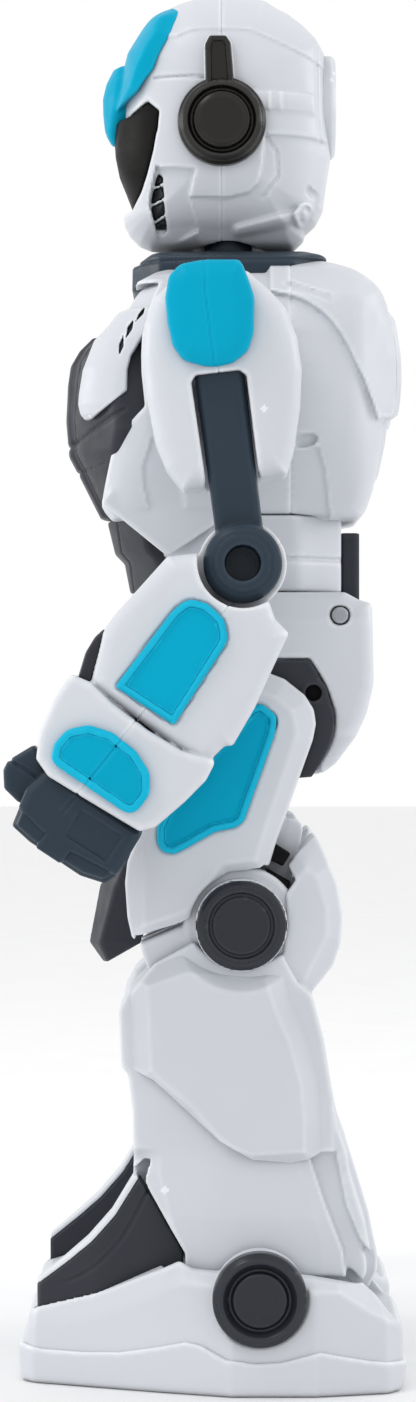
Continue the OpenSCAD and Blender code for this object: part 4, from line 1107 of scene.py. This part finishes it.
def shins():
    f = Field((18.5, -26, 20), (63, 49, 157), 0.7)
    bulge = np.interp(f.z, [30, 48, 66, 120], [62, 61.6, 58.5, 58.3])
    v = both(f.side(SHIN), f.x - bulge + 0.55 * np.clip(f.side(LOW_FACE), 0, None) * step(f.z, 66, 4), 1.2)
    outer = beyond(f.x, 46, 2)
    strip = 0.22 * np.clip(-f.side(STRIP), 0, 5)
    v = v + outer * (strip + 2.5 * inside_of(f.side(CHANNEL), 1.0) + 0.7 * inside_of(f.side(VANE), 1.0))
    v = both(v, 19 - f.x, 4)
    fan = both(both(f.side(FAN), shield(f, FAN_FACE, 56, 0.7), 0.6), 21 - f.x, 3)
    v = join(v, fan, 0.5)
    fork = f.side([(-6, 152), (-7, 120), (16, 110), (30.5, 122), (33, 157)])
    v = cut(v, np.maximum(fork, np.abs(f.x - FORK_X) - 7.4), 0.5)
    fin_slot = f.side([(-6.4, 38), (-14.2, 51.4), (-19.6, 60.6), (-30, 60.6), (-30, 20), (-6.4, 20)])
    # The room that the toe fin sweeps through as the ankle turns.
    swept = [(-3, 20), (-3, 34), (-5, 40.6), (-11.2, 54.8), (-15.6, 64.2), (-18, 64.2), (-21.6, 60.4),
        (-30, 60.4), (-30, 20)]
    v = cut(v, np.maximum(f.side(swept), np.abs(f.x - 50.7) - 6.3), 0.3)
    v = cut(v, np.maximum(fin_slot, 57 - f.x), 0.3)
    tongue = np.maximum(np.where(f.z > ANKLE[1], np.abs(f.y - 14.4) - 12, f.round_x(ANKLE, 6.6)), f.z - 45)
    v = join(v, both(tongue, np.abs(f.x - 41) - 7, 0.5), 0.3)
    v = cut(v, f.round_x(ANKLE, 3.05), 0.1)
    add("shin_SIDE_form", f, v, "shin_body_SIDE", WHITE)


def calf_plate():
    f = Field((57, -25.5, 62), (63, 36, 126), 0.6)
    dish = 3.0 * step(f.round_x(KNEE, 0), 17, 5)
    v = both(f.side(CALF_OUTER), shield(f, CALF_FACE, 62.3, 0.8) + dish, 0.7)
    v = cut(v, f.round_x(KNEE, 13.1), 0.2)
    add("calf_plate_SIDE_form", f, both(v, 57.4 - f.x, 0.1), "shin_body_SIDE", WHITE)


FOOT_SIDE = rounded([(-47.4, 23), (-51.3, 20.5), (-52.9, 13.9), (-54.3, 10), (-54.3, 5), (-53, 0), (54, 0),
    (56.2, 4), (56.2, 18.2), (54.8, 19.1), (53.7, 29.5), (51.5, 35.8), (41.9, 31), (28, 33.4), (14, 34.6),
    (1.9, 34.6), (-4, 35.2), (-8, 37.4), (-28.7, 28.4), (-47.9, 22.4)], 0.8)
FOOT_PLAN = [(12, -46), (16, -54.2), (46, -54.4), (52, -50), (68, -14), (76, 6), (76, 30), (70, 51),
    (62, 56.2), (20, 56.2), (12, 50)]
SOLE_LINE = [(-60, 11), (-53.8, 11), (-46.8, 9.9), (-35.7, 9.9), (-24.7, 10.6), (-13.6, 12.9), (-6.2, 14.7),
    (-1.8, 14), (4.9, 10.6), (13, 9.5), (20.4, 9.9), (26.3, 11.4), (31.1, 12.6), (38.1, 11), (45.5, 9.5),
    (60, 7.8)]
RIDGE = [(-52.1, 15.5), (-35.8, 18.1), (-21, 23.3), (-10.7, 29.2), (-7, 30.7), (2.7, 30.3), (27.1, 29.2),
    (36.7, 28.8), (44.8, 23.3), (53, 18.8)]


def feet():
    f = Field((11.5, -55, -1), (76.5, 57, 39.5), 0.7)
    plan = f.plan(rounded(FOOT_PLAN, 4))
    split = np.interp(f.y, *np.array(SOLE_LINE).T)
    ridge = np.interp(f.y, *np.array(RIDGE).T)
    foot = both(f.side(FOOT_SIDE), plan, 2)
    lean = np.interp(f.y, [-50, -12, 4], [0.2, 0.3, 1.15])
    shell = both(foot + 0.8, 0.65 * (plan + 0.8 + lean * np.clip(f.z - ridge, 0, None)), 0.8)
    shell = join(shell, both(f.round_x(ANKLE, 12.8), f.slab("x", 63.6, 74), 0.6), 0.4)
    shell = cut(shell, all_of([np.abs(f.x - 40.6) - 23, -12.5 - f.y, 20 - f.z]), 0.6)
    fin_well = all_of([np.abs(f.x - 50.8) - 6.1, np.abs(f.y + 27.5) - 21.5, 20 - f.z, plan + 3.4])
    shell = cut(shell, fin_well, 0.2)
    shell = cut(shell, np.maximum(f.round_x(ANKLE, 13.5), 73.9 - f.x), 0.3)
    shell = both(shell, split - 1.5 - f.z, 0.3)
    add("foot_shell_SIDE_form", f, shell, "foot_SIDE", WHITE)
    sole = both(foot, f.z - split, 0.5)
    well = all_of([np.abs(f.x - 35) - 13, np.abs(f.y + 34) - 7, f.z - 13])
    sole = cut(cut(sole, well, 0.4), np.maximum(f.round_x((-34, 6), 2.05), np.abs(f.x - 35) - 17), 0.1)
    add("sole_SIDE_form", f, sole, "foot_SIDE", WHITE)


FIN = rounded([(-48.6, 20.3), (-48.6, 29.3), (-40.8, 35.5), (-34, 41.4), (-27.3, 49), (-21.2, 59.1),
    (-20.2, 59.6), (-14.6, 51.2), (-7.0, 38), (-7.0, 20.3)], 0.4)
FIN_TOP = [(-48.6, 29.3), (-40.8, 35.5), (-34, 41.4), (-27.3, 49), (-20.9, 59.3)]


def toe_fin():
    f = Field((44.5, -49.5, 20), (57, -6, 60.5), 0.45)
    top = f.side_line(FIN_TOP)
    plan = f.plan(rounded(FOOT_PLAN, 4)) + 3.6
    fold = f.side_line(curve([(-48, 27), (-36, 31), (-25, 41), (-17, 55)]))
    v = both(both(f.side(FIN), f.slab("x", 45.1, 56.5), 0.5), plan, 0.6)
    v = v + 0.5 * step(fold, 0.4, 0.6) * beyond(f.x, 52, 2)
    add("toe_fin_SIDE_form", f, both(v, 1.5 - top, 0.3), "foot_SIDE", DARK)
    add("toe_fin_edge_SIDE", f, both(v, top - 1.4, 0.3), "foot_SIDE", WHITE, "toe_fin_SIDE")


def ankle_disc():
    f = Field((72, 0.5, 13.5), (80.5, 28.5, 41.5), 0.4)
    disc = rounded([(73, 0, 0), (73, 13.2, 0.1), (78.3, 13.2, 0.9), (80, 11.4, 0.5), (79.8, 10.4, 0.4),
        (77.6, 8.7, 0.3), (77.6, 8.0, 0.3), (79.0, 7.4, 0.7), (79.5, 4, 4), (79.6, 0, 0)])
    add("ankle_disc_SIDE_form", f, f.turned(ANKLE, disc), "foot_SIDE", DISC)


# ---- the pieces that stay as the frame has them


def keep_node(node, look):
    mesh = frame["nodes"][node].data
    mesh.materials.clear()
    mesh.materials.append(look)


def stage():
    reach = 6.0
    mesh = bpy.data.meshes.new("floor")
    corners = [(-reach, -reach, 0), (reach, -reach, 0), (reach, reach, 0), (-reach, reach, 0)]
    mesh.from_pydata(corners, [], [(0, 1, 2, 3)])
    floor = bpy.data.objects.new("floor", mesh)
    bpy.context.scene.collection.objects.link(floor)
    floor.location.z = bottom
    # The floor card gets a faint share of the same occlusion darkening: painted shade round the feet.
    mesh.materials.append(plastic("floor_card", (240, 240, 241), 0.7, edge=0, grain=0.1, cloud=0.01,
        crevice_shade=0.1))


def light(name, place, size, power):
    data = bpy.data.lights.new(name, "AREA")
    data.shape = "DISK"
    data.size = size
    data.energy = power
    lamp = bpy.data.objects.new(name, data)
    bpy.context.scene.collection.objects.link(lamp)
    lamp.location = place
    aim = Vector((0, 0, bottom + 0.5 * height)) - Vector(place)
    lamp.rotation_euler = aim.to_track_quat("-Z", "Y").to_euler()


def lights():
    world = bpy.data.worlds.new("studio")
    world.use_nodes = True
    world.node_tree.nodes["Background"].inputs["Color"].default_value = (1.0, 1.0, 1.0, 1)
    world.node_tree.nodes["Background"].inputs["Strength"].default_value = 1.0
    bpy.context.scene.world = world
    light("key", (0.8, -0.9, 1.7), 0.5, 5)
    light("back_left", (-0.4, -1.4, 0.5), 0.6, 4)
    light("back_right", (-0.4, 1.4, 0.7), 0.6, 4)
    bpy.context.scene.view_settings.view_transform = "Standard"


for make in (
    head, visor, crest, ear_cups, nape_disc,
    torso, chest_core, breast_plate, collar, abdomen, waist, pelvis, hip_plates, crotch, power_switch,
    pauldrons, shoulder_cap, arm_link, forearms, forearm_panel, cuff_pad, hands,
    thighs, thigh_panel, knees, shins, calf_plate, feet, toe_fin, ankle_disc, stage, lights,
):
    make()

for kept, finish in (
    ("neck_post", SLATE), ("gear_motors", METAL), ("battery_cells", WRAP), ("control_board", BOARD),
    ("roller_left", RUBBER), ("roller_right", RUBBER),
):
    keep_node(kept, finish)
